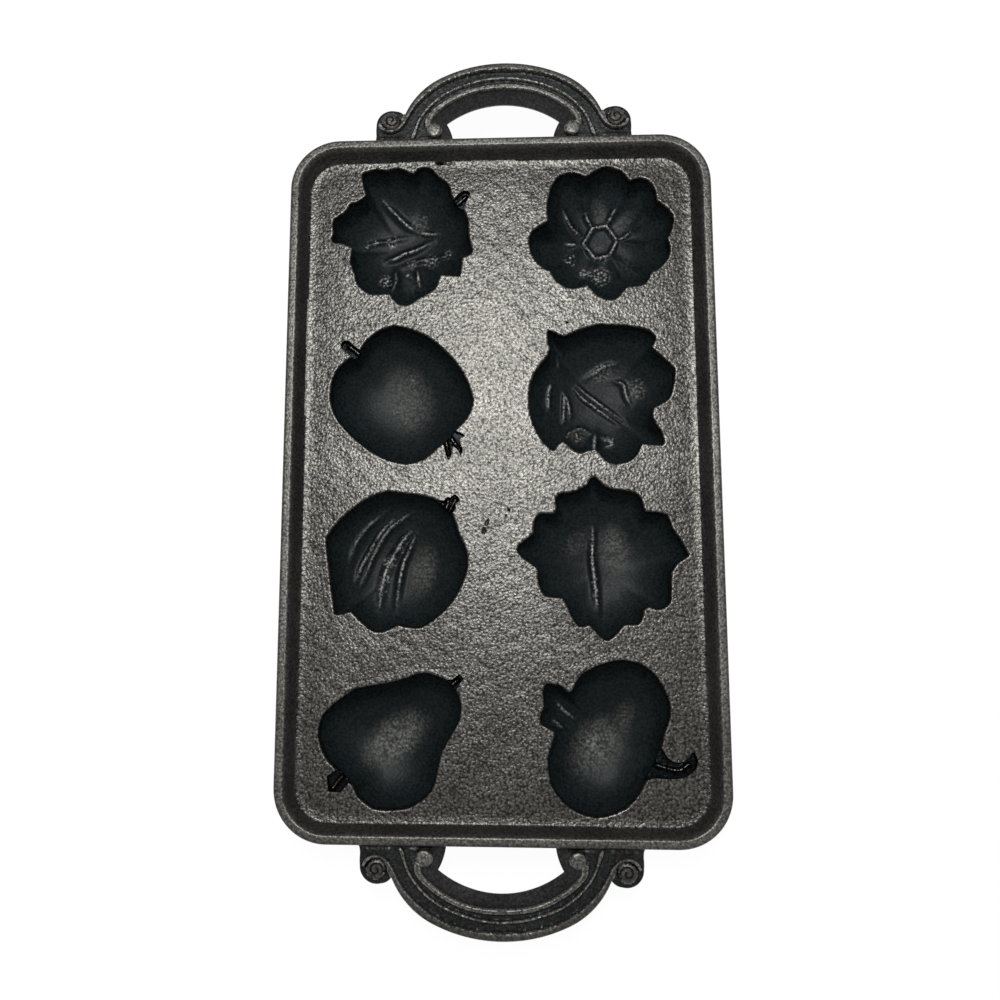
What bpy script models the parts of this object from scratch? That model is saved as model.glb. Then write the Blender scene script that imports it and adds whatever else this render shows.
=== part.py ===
"""Cast-iron cornbread pan: eight fruit-shaped cups in a rimmed tray with scrolled end handles.

Lengths are in millimetres until a mesh is made. +X runs to the right of the pan, +Y to its far
handle and +Z up; the origin is under the middle of the pan, on the surface that it stands on.
The pan is one casting. It is modelled as its named regions, parted by a fine gap.
"""

import math

import bmesh
import bpy
from mathutils import Vector
from mathutils.bvhtree import BVHTree

METRES = 0.001
GAP = 0.3

# Tray
RIM_WIDTH = 210.0
RIM_LENGTH = 344.0
RIM_TOP = 35.0
RIM_CORNER = 25.0
RIM_LAND = 4.6
WALL_RUN = 4.0
WALL_DROP = 8.5
OUTER_DRAFT = 1.4
PLATE_THICK = 4.5
PLATE_TOP = RIM_TOP - WALL_DROP
PLATE_UNDER = PLATE_TOP - PLATE_THICK
RIM_FOOT = RIM_LAND + WALL_RUN
CORNER_STEPS = 8

# Cups
COLUMN_X = 50.0
ROW_PITCH = 83.0
CUP_WALL = 4.0
CUP_FLOOR = 4.0
CUP_SQUARENESS = 2.5
ARC_STEP = 6.2
LIP_CHAMFER = 0.7
LIP_DEPTH = 1.0
HOLE_DRAFT = 0.9

# Handles, drawn in the plane of the rim: x across, y out from the end of the rim
HANDLE_SHIFT = {"far": 2.2, "near": 0.0}
ARCH_TOP = (0.0, 40.5)
ARCH_HAUNCH = (31.0, 33.4)
ARCH_NOTCH = (49.3, 14.2)
ARCH_TOP_BULGE = -0.113
ARCH_SIDE_BULGE = -0.182
ARCH_FLANK = [(48.1, 11.5), (47.6, 8.5)]
ARCH_BASE_X = 47.6
OPENING_TOP = (0.0, 21.0)
OPENING_TIP = (28.7, 11.0)
OPENING_BULGE = -0.167
OPENING_BASE_X = 25.0
HANDLE_UNDER = RIM_TOP - 9.5
HANDLE_OVERLAP = 4.0
ARC_STATIONS = 8
END_STATIONS = 4
TIP_CROWDING = 1.3
BASE_CROWDING = 2.4

SCROLL_CENTRE = (56.2, 8.7)
SCROLL_RADIUS = 8.2
SCROLL_BUTTON_SHIFT = (0.6, 1.6)
SCROLL_SEGMENTS = 22
BUTTON_CENTRE = (34.8, 5.6)
BUTTON_RADIUS = 4.1
BUTTON_SEGMENTS = 20
BUTTON_FLOOR = RIM_TOP - 6.2

# Section of a handle from its outer edge (0) to its opening (1), as drops below the rim's top
HANDLE_SECTION = [
    (0.00, 1.6), (0.03, 0.4), (0.12, 0.2), (0.16, 1.9), (0.32, 2.6), (0.37, 1.1), (0.42, 1.1),
    (0.46, 2.5), (0.51, 2.5), (0.55, 1.3), (0.68, 1.3), (0.73, 3.2), (0.86, 5.6), (1.00, 7.4),
]

# Scroll rings from the button's middle (0) to the edge of the lobe (1), as drops below the top
SCROLL_SECTION = [(0.30, 0.5), (0.48, 1.0), (0.55, 2.7), (0.62, 2.7), (0.68, 1.1), (0.80, 1.1)]

# Each outline runs anticlockwise round its cup's own centre as (x, y, bulge): the bulge is the
# tangent of a quarter of the arc that leads to the next point, positive where it swells outward.
LEAF_AND_NUTS = [
    (31.5, 14.0, 0.0), (27.0, 18.5, 0.25), (20.5, 29.5, 0.45), (6.5, 33.0, 0.18),
    (-20.0, 34.0, -0.15), (-18.0, 19.0, 0.14), (-34.0, 9.0, 0.12), (-34.5, -3.0, -0.1),
    (-24.5, -6.5, 0.52), (-5.0, -31.0, 0.22), (3.5, -37.0, 0.1), (18.0, -29.5, 0.0),
    (20.0, -22.0, 0.06), (30.0, -22.5, 0.1), (31.5, -13.5, 0.0), (36.5, -9.5, 0.08),
]
APPLE = [
    (-2.5, 35.0, 0.28), (-20.0, 20.5, 0.34), (-33.5, 1.5, 0.2), (-28.0, -15.0, 0.08),
    (-12.5, -29.0, 0.12), (4.0, -35.0, 0.22), (19.0, -27.5, 0.12), (29.0, -17.5, 0.22),
    (37.0, -3.0, 0.16), (23.0, 22.0, 0.18),
]
LEAVES_AND_CHERRIES = [
    (26.5, 28.0, 0.26), (-17.0, 29.0, -0.1), (-26.5, 32.0, 0.0), (-26.0, 18.5, 0.4),
    (-24.0, -29.0, 0.0), (-20.0, -25.0, 0.38), (-4.0, -28.0, 0.72), (18.5, -25.5, 0.0),
    (29.0, -26.0, 0.1), (24.5, -9.5, 0.0), (33.0, -2.5, -0.08), (36.5, 11.5, 0.05),
    (24.5, 22.5, 0.0),
]
RIBBED_GOURD = [
    (26.0, 24.0, 0.1), (20.5, 29.5, 0.05), (-7.5, 34.5, 0.14), (-34.0, 10.0, 0.1),
    (-31.5, -10.0, 0.03), (-28.5, -25.5, 0.0), (-21.5, -24.0, 0.46), (1.5, -30.0, 0.18),
    (14.5, -30.5, 0.25), (34.5, 2.5, 0.04),
]
STAR_LEAF = [
    (-4.5, 41.0, 0.0), (-9.0, 36.0, 0.45), (-23.5, 23.5, 0.55), (-34.5, 13.0, 0.15),
    (-41.0, 7.0, 0.1), (-31.0, -5.5, 0.55), (-21.0, -17.0, 0.35), (-9.0, -30.0, 0.0),
    (0.0, -37.5, 0.0), (8.0, -29.0, 0.6), (17.5, -21.0, 0.6), (31.0, -5.0, 0.05),
    (39.5, 3.5, 0.08), (32.0, 15.0, 0.5), (20.0, 24.0, 0.3), (1.0, 36.5, 0.0),
]
PEAR = [
    (28.0, 24.5, 0.3), (7.0, 28.5, -0.12), (-9.5, 25.0, 0.19), (-32.0, 13.0, 0.27),
    (-33.0, -7.5, 0.18), (-14.5, -29.0, 0.27), (5.5, -32.0, 0.18), (19.0, -22.0, 0.05),
    (22.5, -6.5, 0.1), (31.0, 9.0, 0.15),
]
CURLED_GOURD = [
    (29.5, 12.0, 0.36), (4.5, 36.5, 0.22), (-14.0, 26.5, 0.0), (-20.0, 21.5, 0.0),
    (-29.0, 25.5, -0.1), (-29.5, 12.0, 0.0), (-31.5, 8.5, 0.0), (-24.5, 4.0, 0.18),
    (-28.0, -12.0, 0.24), (-13.5, -32.5, 0.26), (10.0, -28.5, 0.08), (17.5, -19.0, 0.12),
    (24.5, -0.5, 0.05),
]
PUMPKIN_NOTCHES = (-69, -39, -6, 31, 62, 104, 163, 216, 251)
PUMPKIN_CENTRE = (1.5, -1.0)
PUMPKIN_NOTCH_RADIUS = 31.0
PUMPKIN_TIP_RADIUS = 35.5
PUMPKIN_RING_RADIUS = 8.5
PUMPKIN_RING_SIDES = 6

# Ridges that stand up inside the cups, as the points that each one runs through
LEAF_AND_NUTS_RIBS = [
    [(-7, 22), (1, 14), (8, 9), (18, 7)], [(19, 1), (8, -2), (-4, -6)],
    [(-23, 3), (-12, 3), (-1, 4)], [(8, -11), (8.5, -19), (7, -27)],
]
LEAVES_AND_CHERRIES_RIBS = [
    [(-25, 12), (-26, 0), (-24, -11)], [(-15, 13), (-15.5, 0), (-14, -11)],
    [(-11, 9), (-1, 0), (11, -9)], [(-3, -13), (-3.5, -20), (-4, -25)],
]
RIBBED_GOURD_RIBS = [
    [(-6, 28), (-17, 17), (-25, 2)], [(6, 26), (-11, 10), (-20, -7)],
    [(6, 17), (-5, 1), (-9, -16)],
]
STAR_LEAF_RIBS = [
    [(-4, 22), (-3.5, 0), (-2.5, -22)], [(-3.5, 2), (-14, 8), (-24, 10)],
    [(-3.5, 2), (8, 8), (20, 9)], [(-3, -8), (-10, -14), (-16, -16)],
    [(-3, -8), (6, -13), (14, -14)],
]
CURLED_GOURD_RIBS = [[(-24, 20), (-17, 11), (-14, 2)], [(-14, 22), (-9, 14), (-7, 5)]]
RIB_RADIUS = 1.9
RIB_SIDES = 6
RIB_SINK = 0.1
RIB_END_SINK = 1.8
RIB_END_TAPER = 0.7

# Shallow grooves in the plate that lead into a cup, as (x, y, half width) along each one
LEAF_STEM = [(26.0, 15.0, 3.2), (34.0, 20.5, 2.4)]
APPLE_STEM = [(-16.0, 17.5, 3.0), (-26.5, 26.5, 2.6)]
APPLE_CALYX = [(22.0, -20.0, 6.0), (28.0, -26.5, 5.0)]
GOURD_STEM = [(22.0, 23.5, 3.4), (29.0, 30.0, 1.6)]
PEAR_STEM = [(22.0, 20.0, 3.4), (31.5, 28.0, 2.4)]
PEAR_CALYX = [(-21.0, -15.0, 5.0), (-27.0, -20.5, 4.4)]
GOURD_TAIL = [
    (19.0, -9.0, 5.4), (25.0, -12.5, 4.6), (31.0, -13.0, 3.8), (35.5, -10.5, 2.9),
    (38.0, -5.5, 1.6),
]
GROOVE_DEPTH = 3.0
GROOVE_SIDES = 12

# The cups from the far row to the near one, left before right: outline, how much of its
# corners the floor keeps, ridges inside it, grooves beside it
PAIRS = [
    (("leaf_and_nuts", LEAF_AND_NUTS, 0.5, LEAF_AND_NUTS_RIBS, [LEAF_STEM]),
     ("pumpkin", None, 1.0, [], [])),
    (("apple", APPLE, 0.5, [], [APPLE_STEM, APPLE_CALYX]),
     ("leaves_and_cherries", LEAVES_AND_CHERRIES, 0.5, LEAVES_AND_CHERRIES_RIBS, [])),
    (("ribbed_gourd", RIBBED_GOURD, 0.5, RIBBED_GOURD_RIBS, [GOURD_STEM]),
     ("star_leaf", STAR_LEAF, 0.45, STAR_LEAF_RIBS, [])),
    (("pear", PEAR, 0.7, [], [PEAR_STEM, PEAR_CALYX]),
     ("curled_gourd", CURLED_GOURD, 0.6, CURLED_GOURD_RIBS, [GOURD_TAIL])),
]

IRON = {"base_color": (0.055, 0.052, 0.050, 1.0), "metallic": 0.75, "roughness": 0.5}
WORN_IRON = {"base_color": (0.16, 0.155, 0.15, 1.0), "metallic": 0.85, "roughness": 0.42}
DARK_IRON = {"base_color": (0.030, 0.027, 0.025, 1.0), "metallic": 0.7, "roughness": 0.45}


def clear_scene():
    """Remove every object that the file starts with."""
    for item in list(bpy.data.objects):
        bpy.data.objects.remove(item, do_unlink=True)


def iron(name, finish):
    """Make one piece's own material from a finish."""
    material = bpy.data.materials.new(name + "_iron")
    material.use_nodes = True
    shader = material.node_tree.nodes["Principled BSDF"]
    shader.inputs["Base Color"].default_value = finish["base_color"]
    shader.inputs["Metallic"].default_value = finish["metallic"]
    shader.inputs["Roughness"].default_value = finish["roughness"]
    return material


def add_solid(name, points, faces, finish=None):
    """Make an object from points in millimetres, with its faces turned outward."""
    mesh = bpy.data.meshes.new(name)
    mesh.from_pydata([Vector(point) * METRES for point in points], [], faces)
    shape = bmesh.new()
    shape.from_mesh(mesh)
    bmesh.ops.recalc_face_normals(shape, faces=shape.faces)
    shape.to_mesh(mesh)
    shape.free()
    mesh.shade_smooth()
    mesh.set_sharp_from_angle(angle=math.radians(35))
    solid = bpy.data.objects.new(name, mesh)
    bpy.context.scene.collection.objects.link(solid)
    if finish is None:
        solid.hide_render = True
        solid.display_type = "WIRE"
    else:
        mesh.materials.append(iron(name, finish))
    return solid


def combine(solid, tool, operation):
    """Cut a solid with a tool, or join the tool to it."""
    modifier = solid.modifiers.new(tool.name, "BOOLEAN")
    modifier.operation = operation
    modifier.solver = "EXACT"
    modifier.object = tool


def loft(rings, start_point=None, end_point=None, closed=False):
    """Skin rings of equal length; each end is capped flat or drawn to a point."""
    count = len(rings[0])
    points = [point for ring in rings for point in ring]
    faces = []
    spans = len(rings) if closed else len(rings) - 1
    for level in range(spans):
        low = level * count
        high = (level + 1) % len(rings) * count
        for k in range(count):
            n = (k + 1) % count
            faces.append((low + k, low + n, high + n, high + k))
    if closed:
        return points, faces
    last = (len(rings) - 1) * count
    for first, tip in ((0, start_point), (last, end_point)):
        if tip is None:
            faces.append(tuple(range(first, first + count)))
        else:
            points.append(tip)
            apex = len(points) - 1
            faces.extend((first + k, first + (k + 1) % count, apex) for k in range(count))
    return points, faces


def arc_to(start, end, bulge, steps=None):
    """Points from start up to, not including, end along an arc of the given bulge."""
    start, end = Vector(start), Vector(end)
    chord = end - start
    if abs(bulge) < 0.01:
        steps = steps or max(1, round(chord.length / ARC_STEP))
        return [start.lerp(end, k / steps) for k in range(steps)]
    sweep = 4.0 * math.atan(bulge)
    radius = chord.length / (2.0 * math.sin(sweep / 2.0))
    normal = Vector((-chord.y, chord.x)).normalized()
    centre = (start + end) / 2.0 + normal * radius * math.cos(sweep / 2.0)
    steps = steps or max(2, round(abs(radius * sweep) / ARC_STEP))
    spoke = start - centre
    turned = []
    for k in range(steps):
        angle = sweep * k / steps
        turned.append(centre + Vector((
            spoke.x * math.cos(angle) - spoke.y * math.sin(angle),
            spoke.x * math.sin(angle) + spoke.y * math.cos(angle),
        )))
    return turned


def trace(outline):
    """Turn an outline of points and bulges into a closed ring of points."""
    ring = []
    for here, there in zip(outline, outline[1:] + outline[:1]):
        ring.extend(arc_to(here[:2], there[:2], here[2]))
    return ring


def pumpkin_outline():
    """Nine unequal lobes between notches on a circle."""
    corners = []
    following = PUMPKIN_NOTCHES[1:] + (PUMPKIN_NOTCHES[0] + 360,)
    for start, end in zip(PUMPKIN_NOTCHES, following):
        half = math.radians(end - start) / 2.0
        rise = PUMPKIN_TIP_RADIUS - PUMPKIN_NOTCH_RADIUS * math.cos(half)
        bulge = rise / (PUMPKIN_NOTCH_RADIUS * math.sin(half))
        angle = math.radians(start)
        corners.append((
            PUMPKIN_CENTRE[0] + PUMPKIN_NOTCH_RADIUS * math.cos(angle),
            PUMPKIN_CENTRE[1] + PUMPKIN_NOTCH_RADIUS * math.sin(angle),
            bulge,
        ))
    return corners


def rounded_rectangle(inset, z):
    """Ring of the rim's plan, moved in by inset."""
    half_x = RIM_WIDTH / 2.0 - inset
    half_y = RIM_LENGTH / 2.0 - inset
    radius = RIM_CORNER - inset
    ring = []
    for quarter, (sx, sy) in enumerate(((1, 1), (-1, 1), (-1, -1), (1, -1))):
        for k in range(CORNER_STEPS + 1):
            angle = math.radians(90.0 * (quarter + k / CORNER_STEPS))
            ring.append((
                sx * (half_x - radius) + radius * math.cos(angle),
                sy * (half_y - radius) + radius * math.sin(angle),
                z,
            ))
    return ring


def smooth_route(route):
    """Smooth curve through a route's points, with one more point in each span."""
    ends = [Vector(route[0])] + [Vector(point) for point in route] + [Vector(route[-1])]
    curve = []
    for a, b, c, d in zip(ends, ends[1:], ends[2:], ends[3:]):
        curve += [b, (b + c) * 0.5625 - (a + d) * 0.0625]
    return curve + [ends[-1]]


def scaled_ring(ring, offset, z):
    """Ring moved out from its centre by a radial offset."""
    return [((p + p.normalized() * offset).x, (p + p.normalized() * offset).y, z) for p in ring]


def tube(route, sides, tallest=math.inf):
    """Closed tube through points with radii, flattened where it would be too tall."""
    rings = []
    for k, (point, radius) in enumerate(route):
        before = route[max(k - 1, 0)][0]
        after = route[min(k + 1, len(route) - 1)][0]
        along = (after - before).normalized()
        side = along.cross(Vector((0.0, 0.0, 1.0))).normalized()
        rise = side.cross(along)
        ring = []
        for n in range(sides):
            angle = math.tau * n / sides
            across = side * math.cos(angle) * radius
            ring.append(point + across + rise * math.sin(angle) * min(radius, tallest))
        rings.append(ring)
    return loft(rings)


def outer_wall_inset(z):
    """How far the rim's drafted outer face has moved in at a height."""
    return OUTER_DRAFT * (RIM_TOP - z) / (RIM_TOP - PLATE_UNDER)


def build_rim():
    """Raised border: crowned land, steep inner wall and drafted outer face."""
    section = [
        (outer_wall_inset(PLATE_UNDER), PLATE_UNDER),
        (outer_wall_inset(RIM_TOP - 1.2), RIM_TOP - 1.2),
        (0.6, RIM_TOP - 0.3),
        (1.9, RIM_TOP),
        (RIM_LAND - 1.1, RIM_TOP - 0.1),
        (RIM_LAND, RIM_TOP - 0.7),
        (RIM_FOOT - 0.9, PLATE_TOP + 1.0),
        (RIM_FOOT, PLATE_TOP),
        (RIM_FOOT, PLATE_UNDER),
    ]
    rings = [rounded_rectangle(inset, z) for inset, z in section]
    points, faces = loft(rings, closed=True)
    return add_solid("tray_rim", points, faces, WORN_IRON)


def build_plate(cups):
    """Flat deck with a drafted, chamfered hole for each cup and grooves for stems."""
    edge = RIM_FOOT + GAP
    points, faces = loft([rounded_rectangle(edge, PLATE_UNDER), rounded_rectangle(edge, PLATE_TOP)])
    plate = add_solid("tray_plate", points, faces, IRON)
    for name, ring, centre, grooves in cups:
        levels = [
            (HOLE_DRAFT, PLATE_UNDER - 1.0), (LIP_CHAMFER, PLATE_TOP - LIP_DEPTH),
            (0.0, PLATE_TOP), (0.0, PLATE_TOP + 1.0),
        ]
        rings = [scaled_ring(ring, -inset, z) for inset, z in levels]
        points, faces = loft(rings)
        points = [(x + centre[0], y + centre[1], z) for x, y, z in points]
        combine(plate, add_solid(name + "_hole", points, faces), "DIFFERENCE")
        for index, groove in enumerate(grooves):
            route = [(Vector((x + centre[0], y + centre[1], PLATE_TOP)), half_width)
                     for x, y, half_width in smooth_route(groove)]
            points, faces = tube(route, GROOVE_SIDES, GROOVE_DEPTH)
            cutter = add_solid(f"{name}_groove_{index}", points, faces)
            combine(plate, cutter, "DIFFERENCE")
    return plate


def cup_rings(ring, keep, wall):
    """Rings of a bowl from its mouth down: 0 wall gives the inside, more the outside."""
    mouth = PLATE_UNDER - GAP
    depth = mouth - CUP_FLOOR + wall
    mean = sum(point.length for point in ring) / len(ring)
    rings = []
    for degrees in (0.0, 20.0, 40.0, 58.0, 74.0):
        across = math.cos(math.radians(degrees)) ** (2.0 / CUP_SQUARENESS)
        down = math.sin(math.radians(degrees)) ** (2.0 / CUP_SQUARENESS)
        soften = (1.0 - keep) * down
        level = []
        for point in ring:
            length = (point.length - HOLE_DRAFT) * (1.0 - soften) + mean * soften
            reach = length * across + wall
            direction = point.normalized()
            level.append((direction.x * reach, direction.y * reach, mouth - depth * down))
        rings.append(level)
    return rings, mouth - depth


def build_cup(name, ring, keep, ribs, centre):
    """Open bowl of even wall that stands on a flat pad, with ridges on its inside."""
    inside, floor = cup_rings(ring, keep, 0.0)
    outside, _ = cup_rings(ring, keep, CUP_WALL)
    outside[-1] = [(x, y, 0.0) for x, y, z in outside[-1]]
    points, faces = loft(inside[::-1] + outside, (0.0, 0.0, floor), (0.0, 0.0, 0.0))
    surface = BVHTree.FromPolygons([Vector(point) for point in points], faces)
    placed = [(x + centre[0], y + centre[1], z) for x, y, z in points]
    cup = add_solid("cup_" + name, placed, faces, DARK_IRON)
    for index, rib in enumerate(ribs):
        route = []
        curve = smooth_route(rib)
        for place, (x, y) in enumerate(curve):
            hit = surface.ray_cast(Vector((x, y, RIM_TOP)), Vector((0.0, 0.0, -1.0)))[0]
            at_end = place in (0, len(curve) - 1)
            sink = RIB_END_SINK if at_end else RIB_SINK
            radius = RIB_RADIUS * (RIB_END_TAPER if at_end else 1.0)
            route.append((Vector((x + centre[0], y + centre[1], hit.z - sink)), radius))
        points, faces = tube(route, RIB_SIDES)
        combine(cup, add_solid(f"{name}_rib_{index}", points, faces), "UNION")
    return cup


def build_pumpkin_ring(cup, centre):
    """Six-sided ring round the pumpkin's stem, raised from the floor of its cup."""
    middle = Vector((centre[0] + PUMPKIN_CENTRE[0], centre[1] + PUMPKIN_CENTRE[1], CUP_FLOOR + 0.9))
    rings = []
    for k in range(PUMPKIN_RING_SIDES):
        angle = math.tau * k / PUMPKIN_RING_SIDES
        outward = Vector((math.cos(angle), math.sin(angle), 0.0))
        hub = middle + outward * PUMPKIN_RING_RADIUS
        ring = []
        for n in range(RIB_SIDES):
            turn = math.tau * n / RIB_SIDES
            ring.append(hub + (outward * math.cos(turn) + Vector((0, 0, math.sin(turn)))) * 2.0)
        rings.append(ring)
    points, faces = loft(rings, closed=True)
    combine(cup, add_solid("pumpkin_stem_ring", points, faces), "UNION")


def build_cups():
    """Make the eight cups, and return what the plate needs to make room for them."""
    cups = []
    for row, pair in enumerate(PAIRS):
        for side, (name, outline, keep, ribs, grooves) in zip((-1, 1), pair):
            centre = (side * COLUMN_X, ROW_PITCH * (1.5 - row))
            ring = trace(outline or pumpkin_outline())
            cup = build_cup(name, ring, keep, ribs, centre)
            if name == "pumpkin":
                build_pumpkin_ring(cup, centre)
            cups.append((name, ring, centre, grooves))
    return cups


def arch_stations():
    """Outer and inner edge points along a handle, left end to right, and how ridges crowd out."""
    outer = arc_to(ARCH_TOP, ARCH_HAUNCH, ARCH_TOP_BULGE, ARC_STATIONS // 2)
    outer += arc_to(ARCH_HAUNCH, ARCH_NOTCH, ARCH_SIDE_BULGE, ARC_STATIONS // 2)
    inner = arc_to(OPENING_TOP, OPENING_TIP, OPENING_BULGE, ARC_STATIONS)
    crowding = [1.0 + (TIP_CROWDING - 1.0) * (k / ARC_STATIONS) ** 3 for k in range(ARC_STATIONS)]

    outer_base = Vector((ARCH_BASE_X, -HANDLE_OVERLAP))
    flank = [Vector(point) for point in ARCH_FLANK]
    outer += [Vector(ARCH_NOTCH)] + flank + [flank[-1].lerp(outer_base, 0.5), outer_base]
    tip, inner_base = Vector(OPENING_TIP), Vector((OPENING_BASE_X, -HANDLE_OVERLAP))
    for k in range(END_STATIONS + 1):
        along = k / END_STATIONS
        inner.append(tip.lerp(inner_base, along))
        crowding.append(TIP_CROWDING + (BASE_CROWDING - TIP_CROWDING) * along)
    half = list(zip(outer, inner, crowding))
    mirrored = [(Vector((-a.x, a.y)), Vector((-b.x, b.y)), c) for a, b, c in half[:0:-1]]
    return mirrored + half


def handle_ring(outer, inner, crowding):
    """Closed section of a handle between its outer and its inner edge."""
    ring = []
    for across, drop in HANDLE_SECTION:
        spot = outer.lerp(inner, across ** crowding)
        ring.append((spot.x, RIM_LENGTH / 2.0 + spot.y, RIM_TOP - drop))
    for across, rise in ((1.0, 1.2), (0.95, 0.0), (0.06, 0.0), (0.0, 1.4)):
        spot = outer.lerp(inner, across)
        ring.append((spot.x, RIM_LENGTH / 2.0 + spot.y, HANDLE_UNDER + rise))
    return ring


def turned(profile, centre, segments):
    """Round solid from (radius, z) steps between a top and a bottom point."""
    top, steps, bottom = profile
    rings = []
    for radius, z in steps:
        ring = []
        for k in range(segments):
            angle = math.tau * k / segments
            ring.append((centre[0] + radius * math.cos(angle),
                         centre[1] + radius * math.sin(angle), z))
        rings.append(ring)
    return loft(rings, (centre[0], centre[1], top), (centre[0], centre[1], bottom))


def scroll_edge(angle, part):
    """Radius of a scroll's plan: round inside, with a straight-sided neck at its very edge."""
    if math.sin(angle) >= 0.0 or part < SCROLL_SECTION[-1][0] + 0.01:
        return SCROLL_RADIUS
    neck = SCROLL_CENTRE[1] + HANDLE_OVERLAP
    return min(SCROLL_RADIUS / max(abs(math.cos(angle)), 1e-6), neck / -math.sin(angle))


def build_scroll(name, side, seat):
    """Outer scroll: a domed button in a groove, inside a raised lobe."""
    levels = [(part, RIM_TOP - drop) for part, drop in SCROLL_SECTION]
    levels += [(0.88, RIM_TOP - 2.2), (1.0, RIM_TOP - 2.7)]
    levels += [(1.0, HANDLE_UNDER + 1.2), (0.88, HANDLE_UNDER)]
    rings = []
    for part, z in levels:
        ring = []
        for k in range(SCROLL_SEGMENTS):
            angle = math.tau * k / SCROLL_SEGMENTS
            reach = part * scroll_edge(angle, part)
            x = SCROLL_CENTRE[0] + SCROLL_BUTTON_SHIFT[0] * (1.0 - part) + reach * math.cos(angle)
            y = SCROLL_CENTRE[1] + SCROLL_BUTTON_SHIFT[1] * (1.0 - part) + reach * math.sin(angle)
            ring.append((side * x, RIM_LENGTH / 2.0 + y, z))
        rings.append(ring)
    button = (side * (SCROLL_CENTRE[0] + SCROLL_BUTTON_SHIFT[0]),
              RIM_LENGTH / 2.0 + SCROLL_CENTRE[1] + SCROLL_BUTTON_SHIFT[1], RIM_TOP - 0.4)
    under = (side * SCROLL_CENTRE[0], RIM_LENGTH / 2.0 + SCROLL_CENTRE[1], HANDLE_UNDER)
    points, faces = loft(rings, button, under)
    scroll = add_solid(name, points, faces, WORN_IRON)
    combine(scroll, seat, "DIFFERENCE")
    return scroll


def build_handle_end(label, turn):
    """One handle with its two outer scrolls and two inner buttons; turn places it."""
    levels = [(-GAP + outer_wall_inset(z), z) for z in (HANDLE_UNDER - 2.0, RIM_TOP + 1.0)]
    points, faces = loft([rounded_rectangle(inset, z) for inset, z in levels])
    seat = add_solid("handle_seat_" + label, points, faces)
    rings = [handle_ring(*station) for station in arch_stations()]
    points, faces = loft(rings)
    handle = add_solid("handle_" + label, points, faces, IRON)
    combine(handle, seat, "DIFFERENCE")
    pieces = [handle, seat]
    for side, hand in ((-turn, "left"), (turn, "right")):
        centre = (side * BUTTON_CENTRE[0], RIM_LENGTH / 2.0 + BUTTON_CENTRE[1])
        pocket_radius = BUTTON_RADIUS + GAP
        pocket = (RIM_TOP + 1.0, [(pocket_radius, RIM_TOP + 1.0), (pocket_radius, BUTTON_FLOOR)],
                  BUTTON_FLOOR)
        points, faces = turned(pocket, centre, BUTTON_SEGMENTS)
        cutter = add_solid(f"button_pocket_{label}_{hand}", points, faces)
        combine(handle, cutter, "DIFFERENCE")
        dome = (RIM_TOP - 1.2, [
            (BUTTON_RADIUS * 0.5, RIM_TOP - 1.5), (BUTTON_RADIUS * 0.85, RIM_TOP - 2.4),
            (BUTTON_RADIUS, RIM_TOP - 3.8), (BUTTON_RADIUS, BUTTON_FLOOR + GAP),
        ], BUTTON_FLOOR + GAP)
        points, faces = turned(dome, centre, BUTTON_SEGMENTS)
        button = add_solid(f"button_{label}_{hand}", points, faces, WORN_IRON)
        scroll = build_scroll(f"scroll_{label}_{hand}", side, seat)
        pieces += [cutter, button, scroll]
    hub = bpy.data.objects.new("end_" + label, None)
    bpy.context.scene.collection.objects.link(hub)
    for piece in pieces:
        piece.parent = hub
    hub.location.x = HANDLE_SHIFT[label] * METRES
    hub.rotation_euler.z = 0.0 if turn > 0 else math.pi
    return hub


def build_pan():
    """Make the whole pan."""
    clear_scene()
    build_rim()
    cups = build_cups()
    build_plate(cups)
    build_handle_end("far", 1)
    build_handle_end("near", -1)


build_pan()
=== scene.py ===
"""Looks of the cast-iron fruit cornbread pan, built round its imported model.

Lengths are in millimetres until a mesh is made, in the model's own frame: +X to the right,
+Y to the far handle, +Z up, with the pan standing on z = 0.
"""

import math

import bpy
import numpy as np
from mathutils.geometry import delaunay_2d_cdt
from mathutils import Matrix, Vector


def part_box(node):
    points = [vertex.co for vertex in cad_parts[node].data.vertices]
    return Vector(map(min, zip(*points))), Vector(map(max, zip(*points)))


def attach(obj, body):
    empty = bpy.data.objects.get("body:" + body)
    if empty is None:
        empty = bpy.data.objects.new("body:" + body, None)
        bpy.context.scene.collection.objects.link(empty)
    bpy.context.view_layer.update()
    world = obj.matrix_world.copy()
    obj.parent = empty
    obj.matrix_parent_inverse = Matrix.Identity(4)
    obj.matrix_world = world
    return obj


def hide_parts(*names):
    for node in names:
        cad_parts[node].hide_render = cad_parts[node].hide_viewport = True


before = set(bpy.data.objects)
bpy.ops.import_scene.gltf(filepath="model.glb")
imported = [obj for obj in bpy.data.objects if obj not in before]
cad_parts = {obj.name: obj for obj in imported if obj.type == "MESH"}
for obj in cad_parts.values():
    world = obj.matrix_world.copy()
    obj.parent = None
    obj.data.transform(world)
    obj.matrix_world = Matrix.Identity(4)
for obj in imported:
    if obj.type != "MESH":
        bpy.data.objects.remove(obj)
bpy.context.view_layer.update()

METRES = 0.001
SHARP_ANGLE = 50.0

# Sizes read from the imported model
RIM_BOX, PLATE_BOX = (np.array(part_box(node)) / METRES for node in ("tray_rim", "tray_plate"))
RIM_HALF = RIM_BOX[1, :2]
RIM_TOP = RIM_BOX[1, 2]
RIM_END = RIM_HALF[1]
DECK_UNDER, DECK_TOP = PLATE_BOX[:, 2]

# Rim
RIM_CORNER = 25.0
RIM_FOOT = 8.6
WALL_RUN = 4.0
OUTER_DRAFT = 1.4
FOOT_FILLET = 1.3
WALL_SLOPE = math.atan2(RIM_TOP - DECK_TOP, WALL_RUN)
FILLET_RUN = FOOT_FILLET * math.tan(WALL_SLOPE / 2.0)
RIM_STEP = 2.2
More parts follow.
